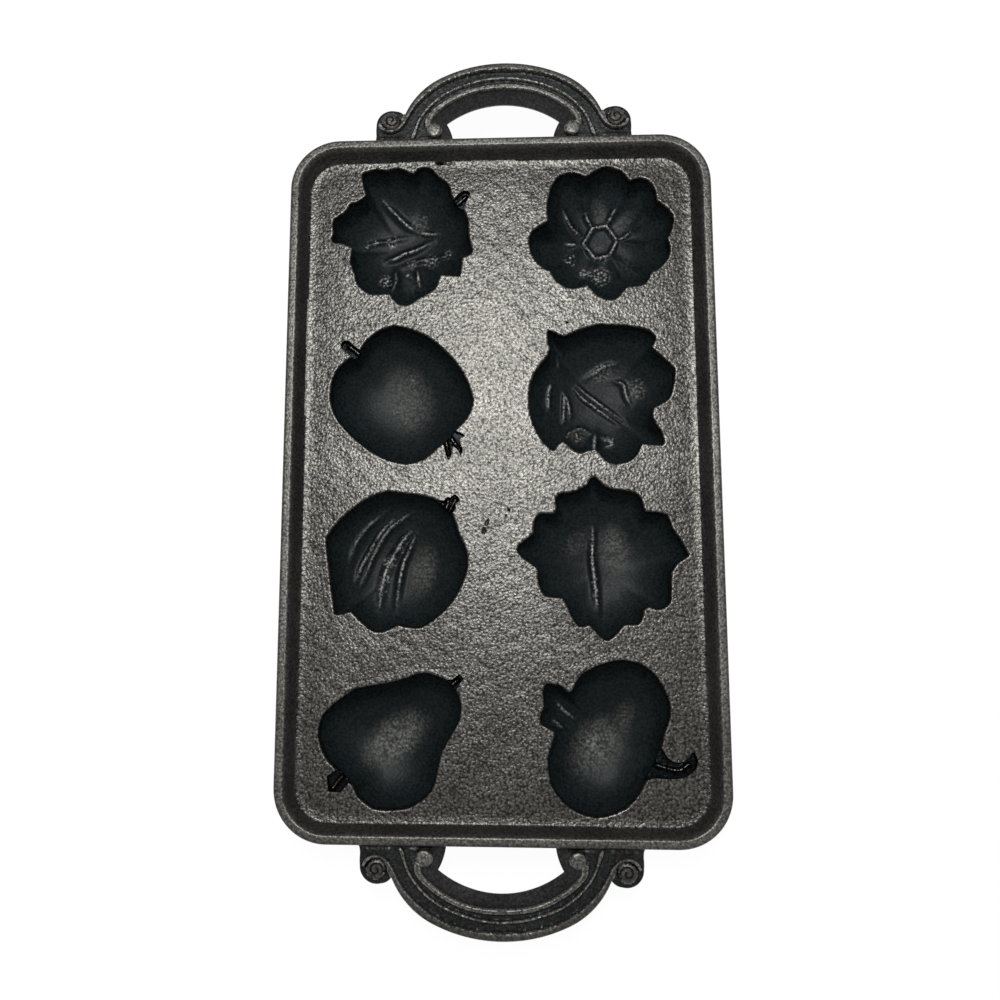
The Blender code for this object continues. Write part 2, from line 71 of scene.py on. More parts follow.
# The rim's land as (inset, drop under its top, wear and painted highlight)
RIM_LAND = [
    (0.2, 1.8, 0), (0.15, 1.1, 0.1), (0.3, 0.6, 0.2), (0.6, 0.25, 0.25), (1, 0.06, 0.3),
    (1.3, 0.01, 0.3), (1.7, 0, 0.3), (2.5, 0.01, 0.3), (3.5, 0.02, 0.3), (3.9, 0.05, 0.6),
    (4.15, 0.16, 0.9), (4.35, 0.36, 0.8), (4.55, 0.68, 0.1),
]

# Cups
COLUMN_X = 50.0
ROW_PITCH = 83.0
CUP_WALL = 4.0
CUP_FLOOR = 4.0
BOWL_DEPTH = DECK_UNDER - CUP_FLOOR
CUP_SQUARENESS = 2.5
HOLE_DRAFT = 0.9
LIP_RADIUS = 0.75
OUTLINE_STEP = 0.75
CREASE_WIDTH = 3.5
WALL_LEVELS = 20
FLOOR_EDGE = 0.86
FLOOR_SPACING = 0.85
FLOOR_GAP = 0.35
FLOOR_FADE = 0.12
SHELL_LEVELS = 16
SHELL_STRIDE = 3
# The shell's first rings as (flare, drop), then where its curve starts, its depth and its turn
SHELL_FLARE = [(1.0, 0.0), (0.45, 0.6), (0.12, 1.4)]
SHELL_START, SHELL_DEPTH, SHELL_TURN = 0.3, 22.4, 78.0

# Deck surface
DECK_SPACING = 1.6
DECK_EDGE_STEP = 1.2
DECK_SAG, SAG_REACH = 0.45, 24.0
DECK_COVE, COVE_REACH = 0.42, 6.0
DECK_WAVE, DECK_WAVE_HEIGHT, DECK_LOW = 7.0, 0.045, 0.08
FOOT_CLEARANCE, LIP_CLEARANCE, POCKET_CLEARANCE = 5.0, 1.9, 1.0
LIP_REACH, CALM_REACH, POCKET_REACH = 8.0, 3.0, 30.0
WALL_FALL = 0.01
# Wear and a painted highlight along the deck's lips, and painted shade on its walls, in its pockets
# and in its corner at the rim
LIP_WEAR_AND_SHEEN, LIP_SHEEN_REACH = 0.7, 0.6
SHADE_START, SHADE_RANGE, WALL_SHADE = 0.3, 0.8, 0.6
CORNER_SHADE, CORNER_START, CORNER_RANGE = 0.5, 0.3, 0.7

# Outlines run anticlockwise round each cup's own centre as (x, y) or (x, y, bulge). The bulge is
# the tangent of a quarter of the arc that leads to the next point, positive if it swells outward.
LEAF_AND_NUTS = [
    (27, 17.5), (24.5, 26.5, 0.1), (20, 30), (15, 35.5, 0.2), (9, 35), (6.5, 32.5),
    (-0.5, 35.5, 0.15), (-4, 35.5, -0.1), (-8.5, 34.5), (-12, 35.5), (-20, 33.5), (-18.5, 25, -0.1),
    (-17.5, 21), (-21, 18), (-25.5, 17), (-27.5, 13), (-34, 8.5, 0.1), (-33.5, 1),
    (-35, -1.5, 0.15), (-33.5, -4), (-30, -4), (-24, -6.5), (-25, -14.5), (-22.5, -20.5),
    (-22, -24, 0.15), (-17, -30, 0.1), (-13.5, -31.5), (-5, -31), (-2, -35, 0.2),
    (3.5, -37.5, 0.15), (8.5, -34.5), (15, -31, 0.05), (18.5, -28), (20.5, -21.5), (30.5, -22.5),
    (31.5, -12.5), (36, -11, 0.2), (36.5, -8.5), (34.5, -0.5), (34.5, 6, 0.05), (32, 13.5),
]
PUMPKIN = [
    (33.5, -4.5, 0.12), (37, 5.5, 0.2), (35.5, 10, 0.12), (29, 15.5), (28.5, 21, 0.12),
    (24.5, 27, 0.25), (16, 26.5), (12.5, 31, 0.15), (6, 34, 0.2), (-1, 32.5, 0.05), (-5.5, 29),
    (-10.5, 31, 0.15), (-18.5, 30.5, 0.2), (-24.5, 20, 0.12), (-25, 6), (-32.5, 1.5, 0.25),
    (-34.5, -7.5, 0.22), (-28, -18.5, 0.05), (-24, -20.5), (-22.5, -24.5, 0.15),
    (-15.5, -29.5, 0.2), (-6.5, -27.5), (-2, -33, 0.15), (5.5, -36, 0.25), (11, -31.5),
    (13.5, -29, 0.05), (20.5, -28.5, 0.25), (25, -22), (28.5, -20.5, 0.1), (34, -14, 0.25),
]
APPLE = [
    (-2.5, 35, 0.28), (-20, 20.5, 0.34), (-33.5, 1.5, 0.2), (-28, -15, 0.08), (-12.5, -29, 0.12),
    (4, -35, 0.22), (19, -27.5, 0.12), (29, -17.5, 0.22), (37, -3, 0.16), (23, 22, 0.18),
]
LEAVES_AND_CHERRIES = [
    (35.5, 12), (28, 19.5), (24.5, 22.5), (27, 27.5, 0.25), (19, 32.5, 0.06), (9.5, 34),
    (-1.5, 34.5, 0.05), (-12.5, 31), (-18.5, 28.5), (-26, 32), (-26, 27), (-25, 22.5),
    (-26, 19, 0.05), (-32.5, 10.5, 0.08), (-35.5, 0, 0.08), (-34.5, -12.5, 0.08), (-28.5, -25),
    (-24, -29), (-21.5, -25.5), (-19.5, -24), (-17.5, -25.5, 0.1), (-12, -30, 0.2), (-8, -29),
    (-3.5, -28), (0, -32.5, 0.15), (3.5, -35, 0.15), (8.5, -35, 0.15), (14, -33, 0.15), (17, -29.5),
    (18.5, -25.5), (28, -26.5, 0.3), (29.5, -25), (28.5, -20), (25.5, -15.5), (24, -12), (24.5, -8),
    (31, -4.5, 0.1), (33.5, -1), (35, 5, 0.05),
]
RIBBED_GOURD = [
    (27, 23.5), (19, 30.5, 0.03), (11.5, 32.5), (-4, 34.5, 0.08), (-16, 30, 0.05), (-28, 20, 0.03),
    (-33, 13.5, 0.2), (-34, 9), (-31.5, -10), (-29, -25.5), (-26, -25), (-21, -23.5, 0.15),
    (-18.5, -26.5, 0.05), (-13.5, -31, 0.15), (-9, -33.5, 0.15), (-5, -33, 0.05), (1.5, -30, 0.05),
    (9.5, -31.5, 0.1), (13, -31, 0.08), (25, -21.5, 0.1), (33, -7.5, 0.1), (34.5, 0.5, 0.1),
    (33.5, 6.5, 0.05), (30.5, 13),
]
STAR_LEAF = [
    (-4.5, 41.5, 0.3), (-7.5, 37.5), (-11.5, 35), (-16, 33.5), (-21.5, 33, 0.3), (-22.5, 26),
    (-24, 23), (-30.5, 23.5, 0.3), (-33.5, 18), (-34, 13.5), (-40, 9, 0.15), (-42, 6, 0.1),
    (-39, 2), (-32, -3), (-31.5, -10, 0.1), (-30, -14, 0.3), (-27, -16.5), (-20, -17),
    (-15, -28, 0.1), (-12.5, -30.5, 0.15), (-8, -29.5), (-2.5, -35.5, 0.1), (0.5, -37, 0.1),
    (3.5, -35), (8.5, -29.5), (15, -29.5, 0.2), (17.5, -22.5), (20.5, -21), (24, -22.5, 0.2),
    (29.5, -20, 0.15), (30.5, -15.5), (31, -5), (33.5, -1), (39.5, 3, 0.1), (32, 16),
    (30.5, 21.5, 0.2), (27.5, 23.5, 0.05), (19.5, 24), (17.5, 31, 0.2), (14.5, 33.5, 0.05),
    (4.5, 35), (0.5, 36.5), (-2, 39, 0.05),
]
PEAR = [
    (25, 27, 0.05), (15.5, 30.5, 0.12), (7, 28.5, -0.05), (-5, 25.5), (-18, 23, 0.08),
    (-33.5, 11, 0.18), (-35.5, 0, 0.12), (-30.5, -11), (-21, -20), (-19, -21.5), (-17, -26, 0.1),
    (-9, -32, 0.1), (6.5, -31.5, 0.15), (17.5, -24, 0.1), (20, -17.5), (22.5, -6), (30, 7, 0.1),
    (31.5, 13.5, 0.1), (31, 18, 0.15),
]
CURLED_GOURD = [
    (24.5, -2), (25.5, 3), (28, 9, 0.15), (28, 19.5, 0.1), (21, 31.5, 0.15), (10.5, 36.5, 0.15),
    (0, 35.5, 0.1), (-11.5, 30.5), (-14.5, 27), (-16, 23), (-18.5, 21.5), (-21.5, 25), (-28.5, 26),
    (-30, 22.5), (-29.5, 15), (-31.5, 11), (-31.5, 7.5), (-24.5, 3.5), (-28, -7.5, 0.08),
    (-26.5, -20.5, 0.12), (-17.5, -31, 0.12), (-5.5, -34.5, 0.12), (8, -30, 0.1), (17, -18),
    (22, -10),
]

# Shallow pockets in the deck that lead into a cup
LEAF_STEM = [
    (26, 8), (32, 13), (33.5, 16.5), (35.6, 21.2, 0.2), (32.5, 22.8), (30, 21.2), (26.5, 17.5),
    (20, 14),
]
APPLE_STEM = [(-14, 13), (-17.6, 21), (-25, 27.4, 0.75), (-28.4, 23.6), (-21.6, 17.6), (-20, 10)]
APPLE_CALYX = [
    (18, -19), (20.8, -25), (22.6, -25.2), (23.8, -30, 0.1), (25.2, -33.2, 0.2), (26.6, -30),
    (27.2, -26.2, -0.2), (31, -31, 0.3), (31.6, -27), (30.2, -23.4, -0.2), (33.2, -21.6, 0.2),
    (29, -19), (22, -13),
]
GOURD_STEM = [
    (20, 16), (27, 19), (27, 23.5), (28.8, 25.8), (28.5, 28.5), (30.6, 29.6, 0.2), (29.5, 32),
    (28, 32.8), (26, 31), (24.5, 31.6), (23, 29.5), (18.5, 30.5), (17, 24),
]
PEAR_STEM = [
    (26, 18), (29.2, 23), (32.5, 28.2, 0.2), (30.5, 29.8), (27.5, 27.4), (24.5, 27.2), (20, 18),
]
PEAR_CALYX = [
    (-18, -9), (-27, -14.8), (-31.2, -17.6), (-30.2, -24.4), (-24.5, -24.6), (-20.6, -20),
    (-14, -16),
]
GOURD_TAIL = [
    (12, -22), (17, -18, -0.1), (21, -16.6), (27, -17), (33, -16.6, 0.15), (39, -13, 0.15),
    (40.6, -8.5, 0.1), (38.8, -4.8, 0.3), (37, -7.2), (34, -9.3, -0.1), (30.5, -9.6, -0.1),
    (27, -7.6, -0.1), (24.8, -3.5), (16, -3.5),
]
# Each pocket's outline, depth and the crests left standing on its bottom
POCKETS = {
    "leaf_and_nuts": [(LEAF_STEM, 3, [[(27, 14.5), (33.4, 19.8)]])],
    "apple": [
        (APPLE_STEM, 3.4, [[(-18.2, 19.8), (-25.2, 25.4)]]),
        (APPLE_CALYX, 3.2, [[(23, -20), (24.9, -29.5)], [(25.5, -21), (30.4, -27.8)]]),
    ],
    "ribbed_gourd": [(GOURD_STEM, 2.4, [
        [(20.5, 22), (24.5, 27), (25, 29.8)], [(23.5, 20.5), (28.6, 30.4)],
        [(20, 26.5), (22.6, 28.2)],
    ])],
    "pear": [
        (PEAR_STEM, 3.4, [[(25.5, 23.5), (30, 27.5)]]),
        (PEAR_CALYX, 3.4, [[(-28.6, -23), (-25, -18.5), (-20.5, -14)]]),
    ],
    "curled_gourd": [(GOURD_TAIL, 3.4, [[(22, -10.8), (27.5, -12.5), (32.5, -13), (37, -10)]])],
}
# Casting flaws in the deck as (x, y, half length, half width, turn in degrees, rise)
FLAWS = [
    (-6.3, -22.6, 1.6, 0.75, 70, -0.6), (-7.6, -26.4, 1.5, 0.9, 75, -0.65),
    (4.4, -16.3, 0.6, 0.5, 115, -1), (3.1, -19.4, 0.45, 0.4, 0, -0.6),
    (33.4, 77.3, 0.6, 0.5, 0, -1), (-30, 162.3, 1.9, 0.9, -8, -1.3), (-25.8, 162.2, 1.9, 1, 0, 0.6),
]
POCKET_WALL = 0.5
POCKET_CREST = 1.8

CUPS = [
    ("leaf_and_nuts", -1, 0, LEAF_AND_NUTS, 0.5),
    ("pumpkin", 1, 0, PUMPKIN, 1),
    ("apple", -1, 1, APPLE, 0.5),
    ("leaves_and_cherries", 1, 1, LEAVES_AND_CHERRIES, 0.5),
    ("ribbed_gourd", -1, 2, RIBBED_GOURD, 0.5),
    ("star_leaf", 1, 2, STAR_LEAF, 0.45),
    ("pear", -1, 3, PEAR, 0.7),
    ("curled_gourd", 1, 3, CURLED_GOURD, 0.6),
]

# Ridges inside the cups: points, height, half width and how worn the crest is, with its painted
# highlight
RIDGES = {
    "pumpkin": [
        ([(-1.5, 10), (-4, 14), (-5.5, 18)], 1.3, 2.6, 0.5), ([(-5.5, 18), (-6.5, 27)], 1, 4, 0),
        ([(5.5, 11), (8, 15.5), (10.5, 20)], 1.3, 2.6, 0.6), ([(10.5, 20), (16, 27)], 1, 4, 0),
        ([(11, 3), (14.5, 4.5), (18, 7.5)], 1.3, 2.6, 0.6), ([(18, 7.5), (28, 15)], 1, 4, 0),
        ([(-7.5, 6), (-11.5, 9), (-14, 12.5), (-17, 19)], 1.4, 2.6, 0.9),
        ([(-16, 1), (-9, 1)], 1, 2, 0.8), ([(11, 3), (20, 0), (32, -3.5)], 1, 4, 0),
        ([(7, -5), (15, -12), (26, -21)], 1, 4, 0), ([(7, -5), (9, -14), (13.5, -26)], 1, 4, 0),
        ([(-0.5, -6.5), (-3.5, -15), (-8, -26)], 1, 4, 0),
        ([(-6.5, 1.5), (-13, -7), (-23, -18)], 1, 4, 0),
    ],
    "leaf_and_nuts": [
        ([(-12, 27), (-5, 19.5), (-1, 15.5), (3, 12), (8.5, 9)], 1.7, 3.2, 0.8),
        ([(8.5, 9), (13, 8), (18, 7.5)], 1.2, 2, 0.9),
        ([(-21, 1), (-14, 3.5), (-7, 4.5), (4, 7)], 1, 2.4, 0.2),
        ([(-9, -6.5), (-4, -5), (0.5, -2.5), (5.5, -1), (15.5, 4)], 1.8, 2.8, 1),
        ([(0, -9.5), (9, -6.5), (19, -5.5), (26, -4)], 1.3, 2.2, 0.2),
        ([(-5.5, -24.5), (-3.5, -18.5), (-4, -11.5)], 1.8, 3.4, 0.3),
        ([(7.5, -11.5), (8, -17), (9, -22)], 1.7, 2.6, 1),
    ],
    "leaves_and_cherries": [
        ([(-21, 24), (-20.5, 17)], 0.9, 1.6, 0.6),
        ([(-24, 9.5), (-25.5, 3.5), (-25.5, -6)], 1.4, 2.2, 0.9),
        ([(-17.5, 5), (-17.5, -2), (-18, -11)], 1.4, 1.6, 0.9),
        ([(-17, 4), (-15.5, -1), (-14.5, -8)], 1.4, 1.8, 0.9),
        ([(-12, 7), (-8.5, 2.5), (-4, -1), (1, -5), (10, -11.5)], 1.4, 1.6, 0.7),
        ([(-10.5, 8.5), (-7, 5), (-2.5, 1.5), (2.5, -2.5), (12, -9.5)], 1.4, 1.6, 0.7),
        ([(-7, 12), (3.5, 18.5), (9, 19.5)], 0.9, 2.4, 0.6),
        ([(8, 11), (12.5, 9), (13.5, 4), (16, -2)], 1.3, 2.4, 0.8),
        ([(-2, -16), (-3, -23), (-3, -29)], 1.6, 3.2, 0.9),
        ([(1, -17.5), (6.5, -21.5), (1.5, -24)], 0.9, 1.6, 0.9),
        ([(-17, -20), (-14.5, -15.5), (-9, -14), (-3, -17)], 1, 2.2, 0.4),
    ],
    "ribbed_gourd": [
        ([(-4.5, 29), (-13, 22), (-18, 17), (-22.5, 9.5), (-25.5, 0)], 1.1, 2.8, 0.5),
        ([(-2, 24), (-9, 17), (-12.5, 11.5), (-18.5, 0.5), (-21.5, -8)], 1.7, 2.4, 0.9),
        ([(7.5, 27), (-2, 21), (-7, 16), (-13, 5.5), (-18.5, -9)], 1.7, 2.4, 0.8),
        ([(6.5, 18), (1.5, 12.5), (-5.5, 0.5), (-8.5, -9.5), (-9.5, -22)], 1.9, 3.6, 1),
        ([(8, 16), (4.5, 7.5), (2, 1.5), (0, -8), (-1.5, -22)], 1.8, 3.2, 0.9),
    ],
    "star_leaf": [
        ([(-4, 21), (-4.5, 10), (-4.5, 2), (-3.5, -8), (-2.5, -24)], 1.8, 3.2, 1),
    ],
    "curled_gourd": [
        ([(-25, 19.5), (-20, 13.5), (-14, 9)], 1.1, 2, 0.5),
        ([(-27, 10), (-20, 5)], 1, 1.8, 0.5),
    ],
}
# The pumpkin's six-sided ring round its stem, with its height, half width, wear with painted
# highlight, and taper
PUMPKIN_RING = [(-1.5, 10), (5.5, 11), (11, 3), (7, -5), (-0.5, -6.5), (-6.5, 1.5)]
# Rough spots left in the seasoning, as (x, y, radius, shine of the glints painted on them)
BEADS = {
    "leaf_and_nuts": [(8.5, 14, 3.8, 0.3), (-19, 1.5, 1.8, 0.9), (-14.5, 3.5, 1.5, 0.8),
                      (-6, 4.4, 2.6, 0.9), (4.5, -8, 2.2, 1), (14.5, -7, 3.2, 0.8),
                      (23.5, -4, 1.8, 0.8), (-9, -18, 2.8, 1), (3, -14.5, 1.3, 0.8)],
    "pumpkin": [(-13.5, -7.5, 2.6, 1), (-5.8, -15, 2.6, 1), (2, -16.5, 4.2, 1),
                (3.5, -7.4, 1.5, 0.8), (-9.5, 8, 1.3, 0.9)],
    "leaves_and_cherries": [(18, 6, 4.4, 0.4), (1.5, 15.5, 4, 0.4), (-11.5, -18.5, 2.2, 0.8),
                            (5, -20.5, 2, 0.8)],
    "apple": [(6, 14, 2.6, 0.2), (-3, -4, 1.6, 0.2), (3, -9, 1.8, 0.2)],
    "ribbed_gourd": [(-4.8, 2, 2.6, 1), (-7.2, -6, 2.2, 1), (-8.5, -12, 2.2, 0.6),
                     (0, 9, 2, 0.7), (2.5, 13, 1.6, 0.6)],
    "star_leaf": [(-3.6, -7, 1.4, 1), (-3.2, -13, 1.5, 1), (-2.6, -18, 1.3, 0.9)],
    "pear": [(3, -2, 4.5, 0.25), (-8, -2, 2.5, 0.2)],
    "curled_gourd": [(-6, -3, 3.5, 0.25), (-2, -8, 2, 0.2)],
}
# Painted pools of light on rougher floors, as (x, y, half length, half width, turn in degrees,
# strength)
LIT_PATCHES = {
    "leaf_and_nuts": [(0, 4, 13, 4, 20, 0.12), (8.5, 14, 6, 4, -40, 0.25), (4, -20, 6, 4, 90, 0.2)],
    "pumpkin": [(1.5, 18, 8, 4, 95, 0.35), (14, 11.5, 8, 4, 40, 0.35), (15, -9, 8, 4, 100, 0.15),
                (1, 0, 4, 3, 0, 0.3), (-5, -14, 8, 5, -20, 0.15)],
    "apple": [(4, 2, 18, 12, 105, 0.45)],
    "leaves_and_cherries": [(2, 15, 11, 5, 25, 0.2), (-3, -8, 8, 5, -40, 0.08),
                            (18, 5, 6, 5, 0, 0.15), (-11, -19, 5, 4, 0, 0.25)],
    "ribbed_gourd": [(12, -2, 13, 7, 80, 0.55), (-7, -5, 13, 2.5, 68, 0.35)],
    "star_leaf": [(6, 8, 13, 8, 95, 0.55), (-12, 11, 9, 6, 40, 0.25)],
    "pear": [(-1, -1, 18, 10, 40, 0.95)],
    "curled_gourd": [(-4, -4, 16, 11, 50, 0.75), (9, 9, 10, 5, 70, 0.35)],
}
PUMPKIN_RING_FORM = (1.5, 2.2, 0.8, 0)
RIDGE_POWER = 1.7
RIDGE_TAPER, RIDGE_END = 0.3, 0.3
CREST_FLAT = 0.22
CREST_SHEEN_REACH = 0.75
BEAD_HEIGHT = 0.22
BEAD_WAVE = 2.0

# Handles, drawn in the plane of the rim: x out from the middle, y out from the end of the rim
HANDLE_SHIFT = {"far": 2.2, "near": 0.0}
ARCH_EDGE = [(0, 40.5, -0.113), (31, 33.4, -0.182), (49.6, 13.8)]
OPENING_EDGE = [(25, -0.9, -0.12), (28.7, 11, 0.167), (0, 21)]
SCROLL_SEAM = [(49.6, 13.8), (49, 11), (49.3, 7), (48.6, 3), (47.9, -0.9)]
LOBE_EDGE = [(47.9, -0.9), (65.3, -0.9, -0.1), (64.4, 4, 0.05), (64.4, 9, 0.5), (54.5, 16.8, 0.25)]
HANDLE_STEP = 0.6
HANDLE_SPACING = 0.85
HANDLE_DROP = 9.5
HANDLE_EDGE_RADIUS = 1.3
HANDLE_EDGE_FALL = 0.9
HANDLE_SHADE_START, HANDLE_SHADE_RANGE, HANDLE_SHADE = 1.6, 1.1, 0.85
# Raised bands as (x, y, half width), with the drop of their tops under the rim's top
OUTER_LAND = [
    (0, 38.9, 1.8), (13, 37.9, 1.8), (25.5, 34.5, 1.8), (35.2, 29.2, 1.75), (42.2, 23, 1.6),
    (46.9, 17, 1.4), (49.6, 11.6, 1.2), (51.6, 8, 1), (54.4, 5.6, 0.8), (58, 4.9, 0.65),
    (61, 6.2, 0.5), (62.4, 8.6, 0.3),
]
MID_RIDGE = [
    (0, 32.6, 0.35), (8, 31.9, 0.35), (16, 30.1, 0.35), (24.5, 27.1, 0.35), (32.2, 22.6, 0.35),
    (38, 17, 0.35), (41.7, 11.8, 0.35), (43.8, 6.8, 0.4), (45, 3, 0.7), (45.9, 1.2, 0.5),
]
INNER_LAND = [
    (0, 28.2, 0.8), (8, 27.7, 0.8), (15.8, 26.2, 0.8), (22.7, 23.5, 0.8), (29, 19.9, 0.8),
    (34.4, 15.6, 0.9), (37.6, 11.6, 1.1), (38, 8.2, 1.3),
]
FOOT_BEADS = [[(51.0, 1.3, 0.2), (61.0, 1.3, 0.2)], [(31.5, 1.2, 0.2), (41.0, 1.2, 0.2)]]
BANDS = [(OUTER_LAND, 0.3), (MID_RIDGE, 1.3), (INNER_LAND, 1.4)] + [(b, 2.1) for b in FOOT_BEADS]
BAND_RAMP = 0.7
HANDLE_FLOOR = 2.8
COVE_TOP, COVE_FOOT = 2.2, 7.4
COVE_LEFT, COVE_RIGHT, COVE_LOW = -9.0, 36.5, -6.0
COVE_SHEEN = 0.25
DISC_CENTRE = (56.8, 10.4)
DISC_RADIUS = 4.4
DISC_DROP, DISC_FALL, DISC_SHEEN = 0.45, 0.7, 0.5
MOAT_DEPTH, MOAT_HALF_WIDTH = 2.4, 0.45
CURL_DEPTH, CURL_HALF_WIDTH = 0.8, 0.5
CURL_START, CURL_SWEEP = 150.0, 430.0
BUTTON_CENTRE = (34.9, 5.5)
BUTTON_RADIUS = 4.1
BUTTON_SEGMENTS = 40
BUTTON_SHEEN, BUTTON_SHEEN_DROP, BUTTON_SHEEN_REACH = 0.6, 2.0, 1.2
# A button from its tip to its base, as (share of its radius, drop under the rim's top)
BUTTON_SECTION = [(0, 1.35), (0.3, 1.36), (0.55, 1.4), (0.76, 1.5), (0.88, 1.75), (0.95, 2.2),
                  (1, 3.2), (1, 6.4)]

CAMERA_PLACE = (0.0024, -0.0964, 0.5758)
CAMERA_TURN = (9.838, 3.425, 0.370)
CAMERA_SENSOR = 36.0
CAMERA_FOCAL_PIXELS = 1150.0
PICTURE_PIXELS = 1000.0
PICTURE_CENTRE = (435.6, 479.1)

# Iron's grain, as cells or waves per metre, and how far it varies the colour
PEBBLE_SCALE = 740.0
FINE_SCALE = 800.0
LUMP_SCALE = 300.0
LUMP_SHARE = 0.6
CLOUD_SCALE = 45.0
CLOUD_RANGE = (0.8, 1.2)
# Colour painted on the lit patches of the cup floors
LIT_PATCH_COLOUR = (0.13, 0.132, 0.118)
PATCH_ROUGHNESS = 0.12

FLOOR_REACH, FLOOR_DROP = 6000.0, 0.4
FLOOR_COLOUR = (0.93, 0.93, 0.93, 1.0)
FLOOR_GLOW = 0.9
GLOW_STRENGTH = 1.06
WORLD_COLOUR = (0.98, 0.99, 1.0, 1.0)
WORLD_STRENGTH = 0.40
KEY_PLACE = (-0.025, 0.33, 1.235)
KEY_SIZE = (0.20, 0.40)
KEY_POWER = 6.2


def add_object(name, data):
    """Put new data into the scene as an object."""
    made = bpy.data.objects.new(name, data)
    bpy.context.scene.collection.objects.link(made)
    return made


def add_mesh(name, points, faces, **marks):
    """Make a mesh object from points in millimetres.

    Marks are values at its points that the materials read, and one left out counts as 0.
    """
    mesh = bpy.data.meshes.new(name)
    mesh.from_pydata((np.asarray(points, float) * METRES).tolist(), [], faces)
    mesh.shade_smooth()
    mesh.set_sharp_from_angle(angle=math.radians(SHARP_ANGLE))
    for label, values in marks.items():
        attribute = mesh.attributes.new(label, "FLOAT", "POINT")
        attribute.data.foreach_set("value", np.asarray(values, np.float32))
    return add_object(name, mesh)


def unit(values):
    """Values limited to the range from 0 to 1."""
    return np.clip(values, 0.0, 1.0)


def eased(share):
    """A share from 0 to 1 with a gentle start and end."""
    return share * share * (3.0 - 2.0 * share)


def round_off(away, radius):
    """Drop of a rounded edge at each distance from it."""
    along = np.clip(radius - away, 0.0, radius)
    return radius - np.sqrt(radius ** 2 - along ** 2)


def lengths(points):
    """Distance of each point from the origin."""
    return np.linalg.norm(points, axis=1)


def turned(points, angle):
    """Points in a plane turned anticlockwise about the origin, by an angle in degrees."""
    c, s = math.cos(math.radians(angle)), math.sin(math.radians(angle))
    return points @ np.array([(c, s), (-s, c)])


def heading(angle):
    """Unit vector at an angle in radians, or one for each of several."""
    return np.stack([np.cos(angle), np.sin(angle)], -1)


def raised(plane, z):
    """Points of a plane at one height, or each at its own."""
    return np.column_stack([plane, np.broadcast_to(z, len(plane))])


def looped(row):
    """Each entry of a closed row with the one after it."""
    return list(zip(row, [*row[1:], row[0]]))


def bridge(above, below):
    """Quads between two closed anticlockwise rows of point numbers, facing out of them."""
    return [(a, b, d, c) for (a, c), (b, d) in zip(looped(above), looped(below))]


def numbered(count, levels, first=0):
    """Point numbers of a stack of rings, ring by ring."""
    return [range(first + level * count, first + (level + 1) * count) for level in range(levels)]


def skin(rows):
    """Quads that bridge each closed row of point numbers to the next."""
    return [quad for above, below in zip(rows, rows[1:]) for quad in bridge(above, below)]


def fan(row, tip):
    """Triangles from a closed row of point numbers to one more point."""
    return [(here, there, tip) for here, there in looped(row)]


def arc_to(here, there, step):
    """Points from one outline point up to, not including, the next, along its line or arc."""
    start, end = np.array(here[:2], float), np.array(there[:2], float)
    chord = end - start
    length = np.linalg.norm(chord)
    if len(here) == 2:
        count = max(1, round(length / step))
        return [start + chord * k / count for k in range(count)]
    sweep = 4.0 * math.atan(here[2])
    radius = length / (2.0 * math.sin(sweep / 2.0))
    normal = np.array((-chord[1], chord[0])) / length
    centre = (start + end) / 2.0 + normal * radius * math.cos(sweep / 2.0)
    count = max(2, round(abs(radius * sweep) / step))
    return [centre + turned(start - centre, math.degrees(sweep) * k / count) for k in range(count)]


def run_along(outline, step):
    """Points along an outline's lines and arcs, up to its last point."""
    return [point for pair in zip(outline, outline[1:]) for point in arc_to(*pair, step)]


def trace(outline, step=OUTLINE_STEP, rounds=2):
    """Closed ring of points along an outline, with its corners eased a little."""
    ring = np.array(run_along(outline + outline[:1], step))
    for _ in range(rounds):
        ring = (np.roll(ring, 1, 0) + 2.0 * ring + np.roll(ring, -1, 0)) / 4.0
    return ring


def half_path(outline):
    """Open path along an outline's lines and arcs, its end included."""
    return np.array(run_along(outline, HANDLE_STEP) + [np.array(outline[-1][:2], float)])


def mirrored(path):
    """The same path on the other side, run the other way."""
    return (path * (-1.0, 1.0))[::-1]


def smooth_path(route, spans=8):
    """Fine points along a smooth curve through a route's own points."""
    route = np.array(route, float)
    ends = np.vstack([2 * route[0] - route[1], route, 2 * route[-1] - route[-2]])
    curve = []
    for a, b, c, d in zip(ends, ends[1:], ends[2:], ends[3:]):
        for k in range(spans):
            t = k / spans
            curve.append(0.5 * (2 * b + (c - a) * t + (2 * a - 5 * b + 4 * c - d) * t * t
                                + (3 * b - a - 3 * c + d) * t ** 3))
    return np.array(curve + [route[-1]])


def nearest(points, path, closed=True):
    """Least distance from each point to a path, and how far along the path it lies (0 to 1)."""
    starts = path if closed else path[:-1]
    steps = (np.roll(path, -1, 0) if closed else path[1:]) - starts
    best = np.full(len(points), np.inf)
    place = np.zeros(len(points))
    for k, (start, step) in enumerate(zip(starts, steps)):
        along = unit((points - start) @ step / max(step @ step, 1e-12))
        away = lengths(points - start - along[:, None] * step)
        closer = away < best
        best[closer] = away[closer]
        place[closer] = (k + along[closer]) / len(steps)
    return best, place


def in_box(points, path, margin=0.0):
    """Which points lie in the box round a path, widened by a margin."""
    low, high = path.min(axis=0) - margin, path.max(axis=0) + margin
    return ((points > low) & (points < high)).all(axis=1)


def distance(points, path, closed=True, reach=np.inf):
    """Least distance from each point to a path; infinite where it is clearly past a reach."""
    close = in_box(points, path, reach)
    away = np.full(len(points), np.inf)
    away[close] = nearest(points[close], path, closed)[0]
    return away


def inside(points, ring):
    """Which points lie inside a closed ring."""
    found = in_box(points, ring)
    x, y = points[found].T
    odd = np.zeros(len(x), bool)
    for a, b in looped(ring):
        if a[1] != b[1]:
            spans = (a[1] > y) != (b[1] > y)
            odd ^= spans & (x < a[0] + (y - a[1]) * (b[0] - a[0]) / (b[1] - a[1]))
    found[np.flatnonzero(found)] = odd
    return found


